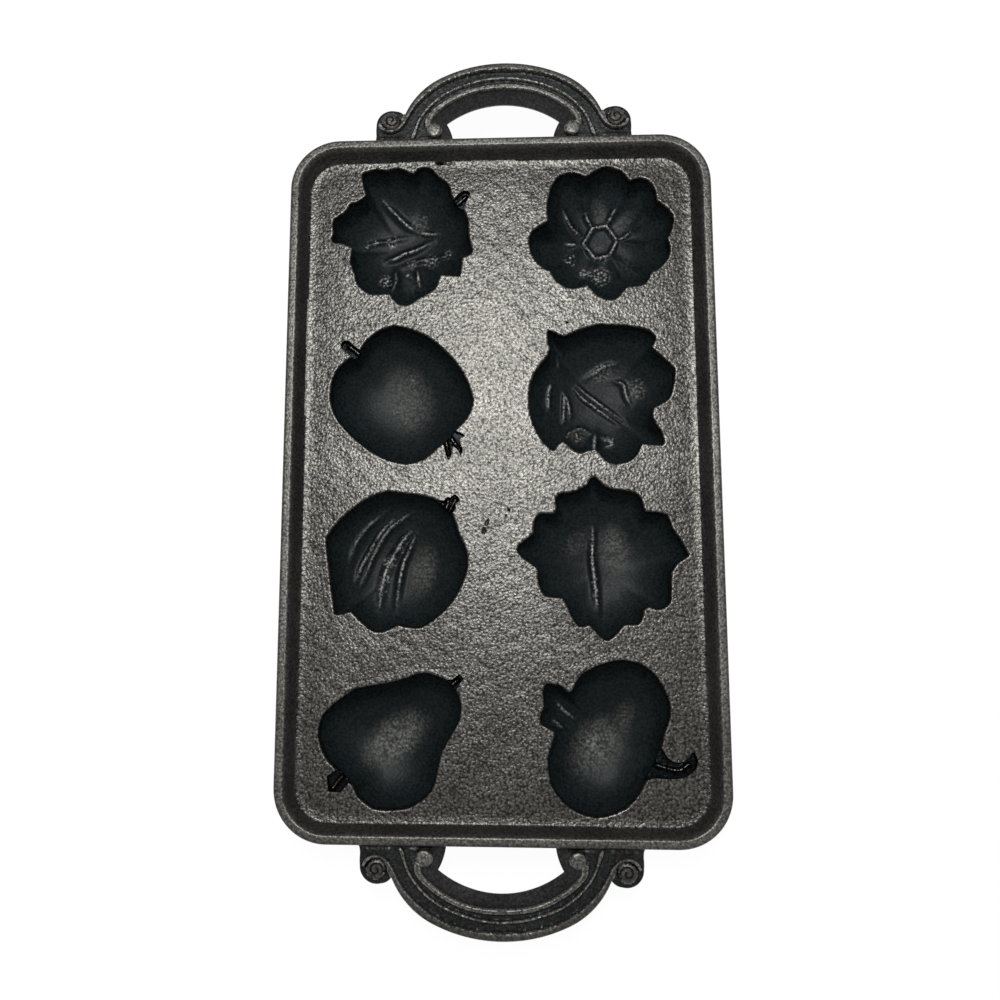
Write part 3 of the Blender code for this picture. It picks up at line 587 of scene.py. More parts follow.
def depth_inside(points, ring, reach=np.inf):
    """Distance of each point from a closed ring, negative outside it."""
    return np.where(inside(points, ring), 1.0, -1.0) * distance(points, ring, reach=reach)


def outward(ring):
    """Unit normals of an anticlockwise ring, pointing out of it."""
    along = np.roll(ring, -1, 0) - np.roll(ring, 1, 0)
    normals = np.stack([along[:, 1], -along[:, 0]], 1)
    return normals / np.maximum(lengths(normals), 1e-9)[:, None]


def beside(ring, distances):
    """Points at set distances out from a ring, but for those that another part of it is near."""
    found = []
    for away in distances:
        moved = ring + outward(ring) * away
        found.append(moved[distance(moved, ring) > abs(away) * 0.93])
    return np.vstack(found)


def flank_points(path, distances):
    """Points on a path and beside it at set distances, on both sides."""
    normals = outward(np.vstack([path, path[::-1]]))[:len(path)]
    return np.vstack([path + normals * away * side for away in distances for side in (-1.0, 1.0)])


def hex_grid(low, high, spacing):
    """Staggered grid of points over the box between two corners."""
    rows = np.arange(low[1], high[1], spacing * math.sqrt(0.75))
    return np.array([(x + spacing / 2.0 * (row % 2), y) for row, y in enumerate(rows)
                     for x in np.arange(low[0], high[0], spacing)])


def thin(points, spacing):
    """Keep one point of each small square of a grid."""
    cells = np.round(points / spacing).astype(int)
    _, kept = np.unique(cells, axis=0, return_index=True)
    return points[np.sort(kept)]


def rounded_rectangle(inset, step):
    """Ring of the rim's plan, moved in by inset; its count doesn't depend on the inset."""
    hubs = [(RIM_HALF - RIM_CORNER) * signs for signs in ((1, 1), (-1, 1), (-1, -1), (1, -1))]
    turns = max(4, round(RIM_CORNER * math.pi / 2.0 / step))

    def corner_point(quarter, share):
        spoke = heading(math.radians(90.0 * (quarter + share)))
        return hubs[quarter % 4] + (RIM_CORNER - inset) * spoke

    ring = []
    for quarter in range(4):
        ring += [corner_point(quarter, k / turns) for k in range(turns + 1)]
        last, goal = ring[-1], corner_point(quarter + 1, 0.0)
        count = round(2 * (RIM_HALF[quarter % 2] - RIM_CORNER) / step)
        ring += [last + (goal - last) * k / count for k in range(1, count)]
    return np.array(ring)


def rim_inset(points):
    """How far each point lies inside the rim's outer edge."""
    reach = np.abs(points) - (RIM_HALF - RIM_CORNER)
    return RIM_CORNER - lengths(np.maximum(reach, 0.0)) - np.minimum(reach.max(axis=1), 0.0)


def undulation(points, wavelength, height, seed):
    """Gentle unevenness of a sand-cast face: a few sine waves in directions drawn from a seed."""
    draws = np.random.default_rng(seed)
    total = np.zeros(len(points))
    for _ in range(9):
        angle, phase = draws.uniform(0.0, math.tau, 2)
        wave = math.tau / (wavelength * draws.uniform(0.7, 1.5))
        total += np.sin(points[:, :2] @ heading(angle) * wave + phase)
    return height * total / 3.0


def spot_share(plane, x, y, half_long, half_wide, turn):
    """How far each point lies within an oval spot that fades out at its edge."""
    local = turned(plane - (x, y), -turn) / (half_long, half_wide)
    return eased(unit(1.3 - lengths(local)))


def spot_points(x, y, half_long, half_wide, turn):
    """Grid of points over an oval spot."""
    steps = np.linspace(-1.4, 1.4, 9)
    grid = [(along * half_long, across * half_wide) for across in steps for along in steps]
    return turned(np.array(grid), turn) + (x, y)


def fill(loops, extra):
    """Triangles over the area inside the first loop and outside the others.

    They run through the loops and the extra points. Returns all the points, the triangles, and
    for each loop the index of each of its points.
    """
    starts = np.cumsum([0] + [len(loop) for loop in loops]).tolist()
    rows = [range(start, stop) for start, stop in zip(starts, starts[1:])]
    edges = [edge for row in rows for edge in looped(row)]
    corners = [tuple(point) for point in np.vstack([*loops, extra])]
    made = delaunay_2d_cdt(corners, edges, [], 0, 1e-6)
    plane = np.array([tuple(point) for point in made[0]])
    faces = np.array([tuple(face) for face in made[2]])
    middles = plane[faces].mean(axis=1)
    kept = inside(middles, loops[0])
    for loop in loops[1:]:
        kept &= ~inside(middles, loop)
    faces = faces[kept]
    a, b, c = (plane[faces[:, k]] for k in range(3))
    turn = (b[:, 0] - a[:, 0]) * (c[:, 1] - a[:, 1]) - (b[:, 1] - a[:, 1]) * (c[:, 0] - a[:, 0])
    faces[turn < 0] = faces[turn < 0][:, ::-1]
    new_index = {source: place for place, sources in enumerate(made[3]) for source in sources}
    return plane, faces, [[new_index[k] for k in row] for row in rows]


def build_slab(outer, holes, extra, height, outer_wall, hole_wall):
    """Closed plate with a modelled top: its points, faces and the count of its top points.

    outer_wall and hole_wall give the steps from a top edge down to the underside, each as
    (inset from the edge, height); a hole's steps run out from its own centre.
    """
    walls = [(outer, outward(outer), outer_wall)]
    walls += [(ring + centre, ring / lengths(ring)[:, None], hole_wall) for centre, ring in holes]
    plane, triangles, rims = fill([loop for loop, _, _ in walls], extra)
    points = raised(plane, height(plane))
    faces = triangles.tolist()
    top_count = len(points)
    bottoms = []
    for number, ((loop, ways, steps), row) in enumerate(zip(walls, rims)):
        heights = points[row, 2]
        for inset, z in steps:
            heights = np.minimum(heights - WALL_FALL, z)
            below = list(range(len(points), len(points) + len(loop)))
            points = np.vstack([points, raised(loop - ways * inset, heights)])
            faces += bridge(row, below) if number == 0 else bridge(below, row)
            row = below
        bottoms.append(row)
    plane, triangles, rims = fill([points[row, :2] for row in bottoms], np.zeros((0, 2)))
    numbers = {}
    for rim, row in zip(rims, bottoms):
        numbers.update(zip(rim, row))
    # The lowest loop of a handle crosses itself at sharp corners, which makes points of its own
    for place in range(len(plane)):
        if place not in numbers:
            numbers[place] = len(points)
            points = np.vstack([points, (*plane[place], outer_wall[-1][1])])
    faces += [[numbers[k] for k in face[::-1]] for face in triangles.tolist()]
    return points, faces, top_count


def foot_height(inset):
    """Rise of the deck towards the foot of the rim's wall: a slight sag, a cove and a fillet."""
    past_foot = inset - RIM_FOOT
    sag = DECK_SAG * unit(1.0 - past_foot / SAG_REACH) ** 2
    cove = DECK_COVE * unit(1.0 - past_foot / COVE_REACH) ** 2
    return round_off(past_foot - FILLET_RUN + FOOT_FILLET, FOOT_FILLET) + cove - sag


def deck_surface(plane, rings, pockets):
    """Height of the deck, distance from its lips, wear and painted highlight of its crests and
    share in a pocket.
    """
    lip_away = np.min([distance(plane, ring, reach=LIP_REACH) for ring in rings], axis=0)
    inset = rim_inset(plane)
    calm = unit(np.minimum(lip_away, inset - RIM_FOOT) / CALM_REACH)
    z = DECK_TOP + foot_height(inset) - round_off(lip_away, LIP_RADIUS)
    z += undulation(plane, DECK_WAVE, DECK_WAVE_HEIGHT, 11) * calm - DECK_LOW * calm
    crest_wear = np.zeros(len(plane))
    sunk = np.zeros(len(plane))
    for ring, depth, crests in pockets:
        close = np.abs(plane - ring.mean(axis=0)).max(axis=1) < POCKET_REACH
        local = plane[close]
        share = unit(depth_inside(local, ring) / POCKET_WALL)
        bottom = DECK_TOP - depth * share ** 0.7
        for crest in crests:
            away = distance(local, crest, closed=False)
            bottom += POCKET_CREST * share * unit(1.0 + CREST_FLAT - away) ** 1.3
            # Wear and painted highlight along each crest left in a pocket
            marked = share * unit(1.0 - away / CREST_SHEEN_REACH)
            crest_wear[close] = np.maximum(crest_wear[close], marked)
        z[close] = np.minimum(z[close], bottom)
        sunk[close] = np.maximum(sunk[close], share)
    for *spot, rise in FLAWS:
        share = spot_share(plane, *spot)
        z += rise * share
        # A raised flaw also gets a painted highlight
        if rise > 0.0:
            crest_wear = np.maximum(crest_wear, share)
    return z, lip_away, crest_wear, sunk


def build_deck(cups):
    """Flat deck: grained top with rounded lips, pockets beside the cups, drafted holes."""
    outer = rounded_rectangle(RIM_FOOT, DECK_EDGE_STEP)
    holes = [(np.array(centre), ring) for _, centre, ring, _ in cups]
    rings = [ring + centre for centre, ring in holes]
    pockets = [
        (trace(outline, 0.5, 1) + centre, depth, [smooth_path(crest) + centre for crest in crests])
        for name, centre, _, _ in cups for outline, depth, crests in POCKETS.get(name, [])]

    spots = [beside(outer, (-0.4, -0.85, -1.35, -2.1, -3.1, -4.3))]
    spots += [beside(ring, (0.15, 0.4, 0.75, 1.25)) + centre for centre, ring in holes]
    for ring, _, crests in pockets:
        spots.append(beside(ring, (-0.75, -0.5, -0.3, -0.12, 0.0, 0.15, 0.5)))
        spots += [flank_points(crest, (0.0, 0.13, 0.3, 0.6, 1.1)) for crest in crests]
    grid = hex_grid(-RIM_HALF, RIM_HALF, DECK_SPACING)
    grid = grid[rim_inset(grid) > RIM_FOOT + FOOT_CLEARANCE]
    for ring, _, _ in pockets:
        grid = grid[distance(grid, ring, reach=2.0) > POCKET_CLEARANCE]
    for ring in rings:
        grid = grid[distance(grid, ring, reach=2.0) > LIP_CLEARANCE]
    extra = np.vstack(spots + [grid] + [spot_points(*flaw[:5]) for flaw in FLAWS])
    extra = extra[rim_inset(extra) > RIM_FOOT + 0.2]
    for ring in rings:
        extra = extra[depth_inside(extra, ring, 1.0) < -0.1]

    points, faces, top_count = build_slab(
        outer, holes, extra, lambda plane: deck_surface(plane, rings, pockets)[0],
        [(0.0, DECK_UNDER + 0.2), (0.2, DECK_UNDER)],
        [(0.12, DECK_TOP - 1.4), (0.32, DECK_TOP - 2.3), (0.6, DECK_TOP - 3.4),
         (HOLE_DRAFT, DECK_UNDER)])
    _, lip_away, crest_wear, sunk = deck_surface(points[:, :2], rings, pockets)
    # Wear and painted highlight along the lips, and along pocket crests and raised flaws
    wear = np.maximum(LIP_WEAR_AND_SHEEN * np.exp(-lip_away / LIP_SHEEN_REACH) * (1.0 - sunk), crest_wear)
    wear[top_count:] = 0.0
    # Painted shade on what lies under the deck's top: hole walls, pockets, and the corner at the
    # rim's foot
    depth = unit((DECK_TOP - points[:, 2] - SHADE_START) / SHADE_RANGE)
    depth[top_count:] *= WALL_SHADE + (1.0 - WALL_SHADE) * sunk[top_count:]
    past = RIM_FOOT + FILLET_RUN + CORNER_START - rim_inset(points[:top_count, :2])
    depth[:top_count] = np.maximum(depth[:top_count], CORNER_SHADE * unit(past / CORNER_RANGE))
    return add_mesh("deck", points, faces, wear=wear, depth=depth)


def build_rim():
    """Raised border: crowned land, inner edge lighter from wear and a painted highlight, steep wall
    with a fillet at its foot.
    """
    wall_lean = WALL_RUN / (RIM_TOP - DECK_TOP)
    fillet_top = DECK_TOP + FILLET_RUN * math.sin(WALL_SLOPE) + DECK_COVE - DECK_SAG
    section = [(OUTER_DRAFT, DECK_UNDER, 0.0), (OUTER_DRAFT * 0.98, DECK_UNDER + 0.3, 0.0),
               (OUTER_DRAFT * 0.55, DECK_UNDER + 6.0, 0.0)]
    section += [(inset, RIM_TOP - drop, worn_and_lit) for inset, drop, worn_and_lit in RIM_LAND]
    wall_top = RIM_FOOT - WALL_RUN
    section += [(wall_top + wall_lean * drop, RIM_TOP - drop, 0.0) for drop in (1.3, 3.0, 5.0)]
    section.append((RIM_FOOT - FILLET_RUN * math.cos(WALL_SLOPE), fillet_top, 0.0))
    section += [(inset, DECK_TOP + float(foot_height(inset)), 0.0)
                for inset in (RIM_FOOT - 0.25, RIM_FOOT)]
    section += [(RIM_FOOT, DECK_UNDER + 0.2, 0.0), (RIM_FOOT - 0.2, DECK_UNDER, 0.0)]
    rings = [raised(rounded_rectangle(inset, RIM_STEP), z) for inset, z, _ in section]
    rows = numbered(len(rings[0]), len(rings))
    wear = np.repeat([mark for _, _, mark in section], len(rings[0]))
    return add_mesh("rim", np.vstack(rings), skin(rows[::-1] + rows[-1:]), wear=wear)


def softened(ring, width):
    """A closed ring without the detail that is finer than a width."""
    length = lengths(np.roll(ring, -1, 0) - ring).sum()
    waves = np.fft.fft(ring[:, 0] + 1j * ring[:, 1])
    order = np.fft.fftfreq(len(ring), 1.0 / len(ring))
    waves *= np.exp(-2.0 * (math.pi * width * order / length) ** 2)
    smooth = np.fft.ifft(waves)
    return np.column_stack([smooth.real, smooth.imag])


def stretched(ring, reach):
    """A ring with each of its points moved to a new distance from its middle."""
    return ring / lengths(ring)[:, None] * reach[:, None]


def cup_profile(ring, keep, wall, turn, mouth, depth):
    """One ring of a bowl: how far it has come down and how much of its corners it has lost."""
    across = math.cos(turn) ** (2.0 / CUP_SQUARENESS)
    down = math.sin(turn) ** (2.0 / CUP_SQUARENESS)
    ring = softened(ring, CREASE_WIDTH * down)
    soften = (1.0 - keep) * down
    reach = (lengths(ring) - HOLE_DRAFT) * (1.0 - soften) + lengths(ring).mean() * soften
    return raised(stretched(ring, reach * across + wall), mouth - depth * down)


def cup_ridges(name):
    """Fine paths of a cup's ridges, each with its height, half width, crest wear with painted
    highlight, and taper.
    """
    found = [(smooth_path(route), *form, RIDGE_TAPER) for route, *form in RIDGES.get(name, [])]
    if name == "pumpkin":
        sides = [np.linspace(here, there, 9)[:-1] for here, there in looped(PUMPKIN_RING)]
        found.append((np.vstack([*sides, PUMPKIN_RING[:1]]), *PUMPKIN_RING_FORM))
    return found


def cup_relief(plane, name):
    """Rise of a cup's ridges and beads over its bowl, with the wear and painted highlight of its
    crests and painted glints on its beads.
    """
    rise = np.zeros(len(plane))
    wear = np.zeros(len(plane))
    for path, height, half_width, worn_and_lit, taper in cup_ridges(name):
        away, along = nearest(plane, path, closed=False)
        side = unit(1.0 - np.maximum(away - CREST_FLAT, 0.0) / half_width)
        ends = np.ones(len(plane))
        if taper:
            ends = np.sqrt(unit(np.minimum(along, 1.0 - along) / taper))
        rise = np.maximum(rise, height * side ** RIDGE_POWER * np.maximum(ends, RIDGE_END))
        # Wear and painted highlight along each ridge's crest
        wear = np.maximum(wear, worn_and_lit * ends ** 2 * unit(1.0 - away / CREST_SHEEN_REACH))
    bumps = undulation(plane, BEAD_WAVE, 1.0, 5)
    for x, y, radius, shine in BEADS.get(name, []):
        near = unit(1.5 - lengths(plane - (x, y)) / radius)
        rise += BEAD_HEIGHT * near * bumps
        # Painted glints on the beads' bumps
        wear = np.maximum(wear, shine * near * unit(2.0 * bumps - 0.5))
    return rise, wear


def bowl_floor(name, boundary):
    """Floor of a bowl inside its lowest wall ring: points, faces, the ring's indices, marks."""
    reach = np.abs(boundary).max() + 1.0
    spots = [flank_points(path, (0.0, 0.25, 0.6, 1.1)) for path, *_ in cup_ridges(name)]
    spots.append(hex_grid((-reach, -reach), (reach, reach), FLOOR_SPACING))
    extra = thin(np.vstack(spots), 0.3)
    plane, faces, (rim,) = fill([boundary], extra[depth_inside(extra, boundary) > FLOOR_GAP])
    bearings, plane_bearings = (np.arctan2(at[:, 1], at[:, 0]) for at in (boundary, plane))
    edge = np.interp(plane_bearings, bearings, lengths(boundary) / FLOOR_EDGE, period=math.tau)
    across = np.clip(lengths(plane) / edge, 0.0, FLOOR_EDGE)
    down = (1.0 - across ** CUP_SQUARENESS) ** (1.0 / CUP_SQUARENESS)
    rise, wear = cup_relief(plane, name)
    fade = unit((FLOOR_EDGE - across) / FLOOR_FADE)
    # Painted pools of light on the floor
    patches = [strength * spot_share(plane, *spot) for *spot, strength in LIT_PATCHES[name]]
    points = raised(plane, DECK_UNDER - BOWL_DEPTH * down + rise * fade)
    return points, faces, rim, wear * fade, np.max(patches, axis=0)


def build_cup(name, centre, ring, keep):
    """Bowl with its ridges inside and a plain shell outside, standing on a flat pad."""
    last_turn = math.acos(FLOOR_EDGE ** (CUP_SQUARENESS / 2.0))
    levels = [cup_profile(ring, keep, 0.0, last_turn * k / WALL_LEVELS, DECK_UNDER, BOWL_DEPTH)
              for k in range(WALL_LEVELS + 1)]
    floor, floor_faces, floor_rim, *floor_marks = bowl_floor(name, levels[-1][:, :2])
    count = len(ring)
    wall_count = WALL_LEVELS * count
    rows = numbered(count, WALL_LEVELS) + [[wall_count + place for place in floor_rim]]
    faces = (floor_faces + wall_count).tolist() + skin(rows[::-1])

    outer_ring = ring[::SHELL_STRIDE]
    shell = [raised(stretched(outer_ring, lengths(outer_ring) - HOLE_DRAFT + CUP_WALL + flare),
                    DECK_UNDER - drop) for flare, drop in SHELL_FLARE]
    for k in range(2, SHELL_LEVELS + 1):
        turn = math.radians(SHELL_TURN * k / SHELL_LEVELS)
        level = cup_profile(outer_ring, keep, CUP_WALL, turn, DECK_UNDER - SHELL_START, SHELL_DEPTH)
        shell.append(np.maximum(level, (-np.inf, -np.inf, 0.0)))
    base = wall_count + len(floor)
    shell_rows = numbered(len(outer_ring), len(shell), base)
    faces += skin(shell_rows) + fan(shell_rows[-1][::-1], shell_rows[-1].stop)
    for k, (here, there) in enumerate(looped(shell_rows[0])):
        inner = range(k * SHELL_STRIDE, min((k + 1) * SHELL_STRIDE, count) + 1)
        faces.append([here, there] + [j % count for j in inner[::-1]])

    points = np.vstack(levels[:-1] + [floor] + shell + [np.zeros((1, 3))])
    wear, patch, depth = marks = np.zeros((3, len(points)))
    marks[:2, wall_count:base] = floor_marks
    # Painted shade: the bowl darkens from its mouth towards its floor
    depth[:base] = unit((DECK_UNDER - points[:base, 2]) / BOWL_DEPTH)
    points[:, :2] += centre
    return add_mesh("bowl_" + name, points, faces, wear=wear, patch=patch, depth=depth)


def band_height(points, route):
    """How far points lie inside a band of varying half width; negative outside it."""
    path = smooth_path(route)
    away, place = nearest(points, path[:, :2], closed=False)
    return np.interp(place * (len(path) - 1), np.arange(len(path)), path[:, 2]) - away


def disc_curl():
    """Groove that winds in from the rim of a scroll's disc to near its middle."""
    turns = np.linspace(0.0, 1.0, 28)
    reach = DISC_RADIUS * (0.8 - 0.6 * turns)
    return heading(np.radians(CURL_START + CURL_SWEEP * turns)) * reach[:, None] + DISC_CENTRE


def handle_drop(plane):
    """Drop of a handle's top under the rim's top, with the wear and painted highlight of its raised
    bands and its disc.
    """
    points = np.column_stack([np.abs(plane[:, 0]), plane[:, 1]])
    land = smooth_path(INNER_LAND)[:, :2]
    cove_side = inside(points, np.vstack([
        [(COVE_LEFT, land[0][1])], land, [(COVE_RIGHT, COVE_LOW), (COVE_LEFT, COVE_LOW)]]))
    from_land = np.maximum(distance(points, land, closed=False) - INNER_LAND[0][2], 0.0)
    from_opening = distance(points, half_path(OPENING_EDGE), closed=False)
    share = from_land / (from_land + from_opening + 0.01)
    drop = np.where(cove_side, COVE_TOP + (COVE_FOOT - COVE_TOP) * share ** 0.75, HANDLE_FLOOR)
    wear = np.zeros(len(points))
    for route, top in BANDS:
        within = band_height(points, route)
        side = eased(unit(within / BAND_RAMP + 1.0))
        drop = np.minimum(drop, drop + (top - drop) * side)
        # Wear and painted highlight along the top of each raised band
        wear = np.maximum(wear, side * np.exp(-(np.maximum(within, 0.0) / 0.5) ** 2))
    radius = lengths(points - DISC_CENTRE)
    moat = unit(1.0 - np.abs(radius - DISC_RADIUS - MOAT_HALF_WIDTH) / MOAT_HALF_WIDTH)
    drop = np.maximum(drop, MOAT_DEPTH * moat)
    disc = radius < DISC_RADIUS
    out = radius[disc] / DISC_RADIUS
    curl = unit(1.0 - distance(points[disc], disc_curl(), closed=False) / CURL_HALF_WIDTH)
    drop[disc] = DISC_DROP + DISC_FALL * out ** 4 + CURL_DEPTH * curl
    # Painted highlight round the edge of the disc, kept out of its groove
    wear[disc] = DISC_SHEEN * out ** 6 * (1.0 - curl)
    return drop, wear


def at_rim_end(points, shift, turn):
    """Points drawn from the rim's end, put at the far end, or turned round to the near one."""
    return points * (turn, turn, 1.0) + (shift, turn * RIM_END, 0.0)


def build_handle_piece(name, loop, edges, shift, turn):
    """Slab of a handle over a loop, its top carved into ridges and its edges rounded."""
    half = [flank_points(disc_curl(), (0.0, 0.25, CURL_HALF_WIDTH))]
    for route, _ in BANDS[:3]:
        path = smooth_path(route, 10)
        half += [flank_points(path[:, :2], [path[:, 2:] + past]) for past in (0.0, 0.2, 0.45, 0.75)]
    spots = [hex_grid(loop.min(axis=0), loop.max(axis=0), HANDLE_SPACING)]
    spots += [points * (side, 1.0) for points in half for side in (1.0, -1.0)]
    extra = np.vstack(spots + [beside(loop, (-0.12, -0.35, -0.7, -1.15))])
    extra = thin(extra[depth_inside(extra, loop) > 0.08], 0.16)

    def top(plane):
        away = np.min([distance(plane, edge, closed=False) for edge in edges], axis=0)
        fall = HANDLE_EDGE_FALL * round_off(away, HANDLE_EDGE_RADIUS)
        return RIM_TOP - handle_drop(plane)[0] - fall

    under = RIM_TOP - HANDLE_DROP
    steps = [(0.0, under + 1.2), (0.35, under + 0.35), (1.1, under)]
    points, faces, top_count = build_slab(loop, [], extra, top, steps, [])
    wear, depth = np.zeros((2, len(points)))
    wear[:top_count] = handle_drop(points[:top_count, :2])[1]
    fall = RIM_TOP - points[:top_count, 2]
    # Painted shade grows as the top falls below the rim's top; a painted sheen lightens it again
    # down in the cove
    shade = np.clip((fall - HANDLE_SHADE_START) / HANDLE_SHADE_RANGE, 0.0, HANDLE_SHADE)
    depth[:top_count] = shade - COVE_SHEEN * unit(fall - HANDLE_FLOOR)
    return add_mesh(name, at_rim_end(points, shift, turn), faces, wear=wear, depth=depth)


def build_button(name, side, shift, turn):
    """Small dome at the end of an inner ridge."""
    circle = BUTTON_RADIUS * heading(math.tau * np.arange(BUTTON_SEGMENTS) / BUTTON_SEGMENTS)
    rings = [raised(circle * part, -drop) for part, drop in BUTTON_SECTION[1:]]
    rows = numbered(BUTTON_SEGMENTS, len(rings))
    tip = rows[-1].stop
    faces = fan(rows[0], tip) + skin(rows) + fan(rows[-1][::-1], tip + 1)
    ends = [(0.0, 0.0, -BUTTON_SECTION[k][1]) for k in (0, -1)]
    points = np.vstack(rings + [ends]) + (side * BUTTON_CENTRE[0], BUTTON_CENTRE[1], RIM_TOP)
    # Painted highlight on a band round the button, strongest about its shoulder
    off = np.abs(points[:, 2] - RIM_TOP + BUTTON_SHEEN_DROP)
    wear = np.clip(1.0 - off / BUTTON_SHEEN_REACH, 0.0, BUTTON_SHEEN)
    return add_mesh(name, at_rim_end(points, shift, turn), faces, wear=wear)


def build_handle(end, turn, iron):
    """One arched handle with a scroll at each foot and a button at each inner ridge's end."""
    shift = HANDLE_SHIFT[end]
    arch = half_path(ARCH_EDGE)
    opening = half_path(OPENING_EDGE)
    seam = smooth_path(SCROLL_SEAM, 5)
    right = np.vstack([arch[:-1], seam[:-1]])
    foot = np.vstack([seam[-1:], opening[:-1]])
    clockwise = np.vstack([right, foot, opening[-1:], mirrored(foot)[:-1], mirrored(right)[:-1]])
    clockwise = clockwise[lengths(clockwise - np.roll(clockwise, 1, 0)) > 1e-6]
    piece = build_handle_piece("arch_" + end, clockwise[::-1], [arch, mirrored(arch)], shift, turn)
    dress(piece, iron, "handle_" + end)
    edge = half_path(LOBE_EDGE + SCROLL_SEAM[:1])
    loop = np.vstack([seam[:-1], edge[:-1]])
    for side, hand in ((-turn, "left"), (turn, "right")):
        side_loop, side_edge = (loop, edge) if side > 0 else (mirrored(loop), mirrored(edge))
        flank = side_edge[side_edge[:, 1] > 0.3]
        piece = build_handle_piece(f"volute_{end}_{hand}", side_loop, [flank], shift, turn)
        dress(piece, iron, f"scroll_{end}_{hand}")
        button = build_button(f"boss_{end}_{hand}", side, shift, turn)
        dress(button, iron, f"button_{end}_{hand}")


def feed(tree, socket, value):
    """Set an input to a value, or link another node's output to it."""
    if isinstance(value, bpy.types.NodeSocket):
        tree.links.new(value, socket)
    else:
        socket.default_value = value


def add_node(tree, kind, inputs=None, **settings):
    """A new node with its settings, and its inputs fed from values or sockets."""
    node = tree.nodes.new("ShaderNode" + kind)
    for label, value in settings.items():
        setattr(node, label, value)
    for label, value in (inputs or {}).items():
        feed(tree, node.inputs[label], value)
    return node


def remap(tree, value, low, high, to_low, to_high):
    """A value moved from one range to another and clamped to it."""
    return add_node(tree, "MapRange", {
        "Value": value, "From Min": low, "From Max": high, "To Min": to_low, "To Max": to_high,
    }).outputs["Result"]


def combine(tree, operation, *values):
    """Result of a math node over sockets and numbers."""
    node = add_node(tree, "Math", dict(enumerate(values)), operation=operation)
    return node.outputs["Value"]


def blend_colours(tree, share, low, high, blend_type="MIX"):
    """Colour between two, given as sockets or as plain colours."""
    low, high = ((*value, 1.0) if isinstance(value, tuple) else value for value in (low, high))
    node = add_node(tree, "Mix", data_type="RGBA", blend_type=blend_type)
    enabled = {socket.name: socket for socket in node.inputs if socket.enabled}
    for label, value in (("Factor", share), ("A", low), ("B", high)):
        feed(tree, enabled[label], value)
    return [socket for socket in node.outputs if socket.enabled][0]


def iron_material(name, base, shade_colour, worn_and_lit, metallic, roughness, specular, grain, speckles, rub_and_sheen):
    """Sand-cast seasoned iron: pebbled grain, painted shade in the hollows, edges lighter from wear
    and painted highlight, and painted light on lit patches.

    speckles is the range by which the grain varies the colour, and the last argument the range of
    the fine noise over which a place marked for wear and painted highlight turns bright.
    """
    material = bpy.data.materials.new(name)
    material.use_nodes = True
    tree = material.node_tree
    place = add_node(tree, "TexCoord").outputs["Object"]
    wear, depth, patch = (add_node(tree, "Attribute", attribute_name=label).outputs["Fac"]
                          for label in ("wear", "depth", "patch"))
    pebbles = add_node(tree, "TexVoronoi", {
        "Vector": place, "Scale": PEBBLE_SCALE, "Smoothness": 0.4,
    }, feature="SMOOTH_F1").outputs["Distance"]
    fine, lumps, clouds = (
        add_node(tree, "TexNoise", {
            "Vector": place, "Scale": scale, "Detail": detail, "Roughness": rough,
        }).outputs["Fac"] for scale, detail, rough in (
            (FINE_SCALE, 2.0, 0.6), (LUMP_SCALE, 1.0, 0.5), (CLOUD_SCALE, 3.0, 0.5)))

    speckle = combine(tree, "MULTIPLY_ADD", pebbles, -0.55, fine)
    mottle = combine(tree, "MULTIPLY", remap(tree, speckle, 0.05, 0.45, *speckles),
                     remap(tree, clouds, 0.3, 0.7, *CLOUD_RANGE))
    # Painted light: lit patches on the cup floors turn paler
    lit_share = combine(tree, "MULTIPLY", patch, remap(tree, speckle, 0.0, 0.4, 0.5, 1.0))
    # Wear and painted highlight turn bright where the fine noise passes a cutoff
    rubbed_and_lit = combine(tree, "MULTIPLY", wear, remap(tree, fine, *rub_and_sheen, 0.0, 1.0))
    # Painted shade: the depth mark blends towards the shade colour
    colour = blend_colours(tree, depth, base, shade_colour)
    colour = blend_colours(tree, lit_share, colour, LIT_PATCH_COLOUR)
    colour = blend_colours(tree, rubbed_and_lit, colour, worn_and_lit)
    colour = blend_colours(tree, 1.0, colour, mottle, "MULTIPLY")
    rough = remap(tree, fine, 0.3, 0.7, roughness - 0.05, roughness + 0.07)
    height = combine(tree, "MULTIPLY_ADD", lumps, LUMP_SHARE, speckle)
    bump = add_node(tree, "Bump", {"Strength": 1.0, "Distance": grain, "Height": height})

    inputs = {
        "Base Color": colour, "Metallic": metallic, "Specular IOR Level": specular,
        "Roughness": combine(tree, "MULTIPLY_ADD", patch, PATCH_ROUGHNESS, rough),
        "Normal": bump.outputs["Normal"],
    }
    for label, value in inputs.items():
        feed(tree, tree.nodes["Principled BSDF"].inputs[label], value)
    return material


def dress(piece, material, node):
    """Give a piece its material and its body, and hide the node of the model that it stands for."""
    piece.data.materials.append(material)
    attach(piece, "root")
    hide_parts(node)


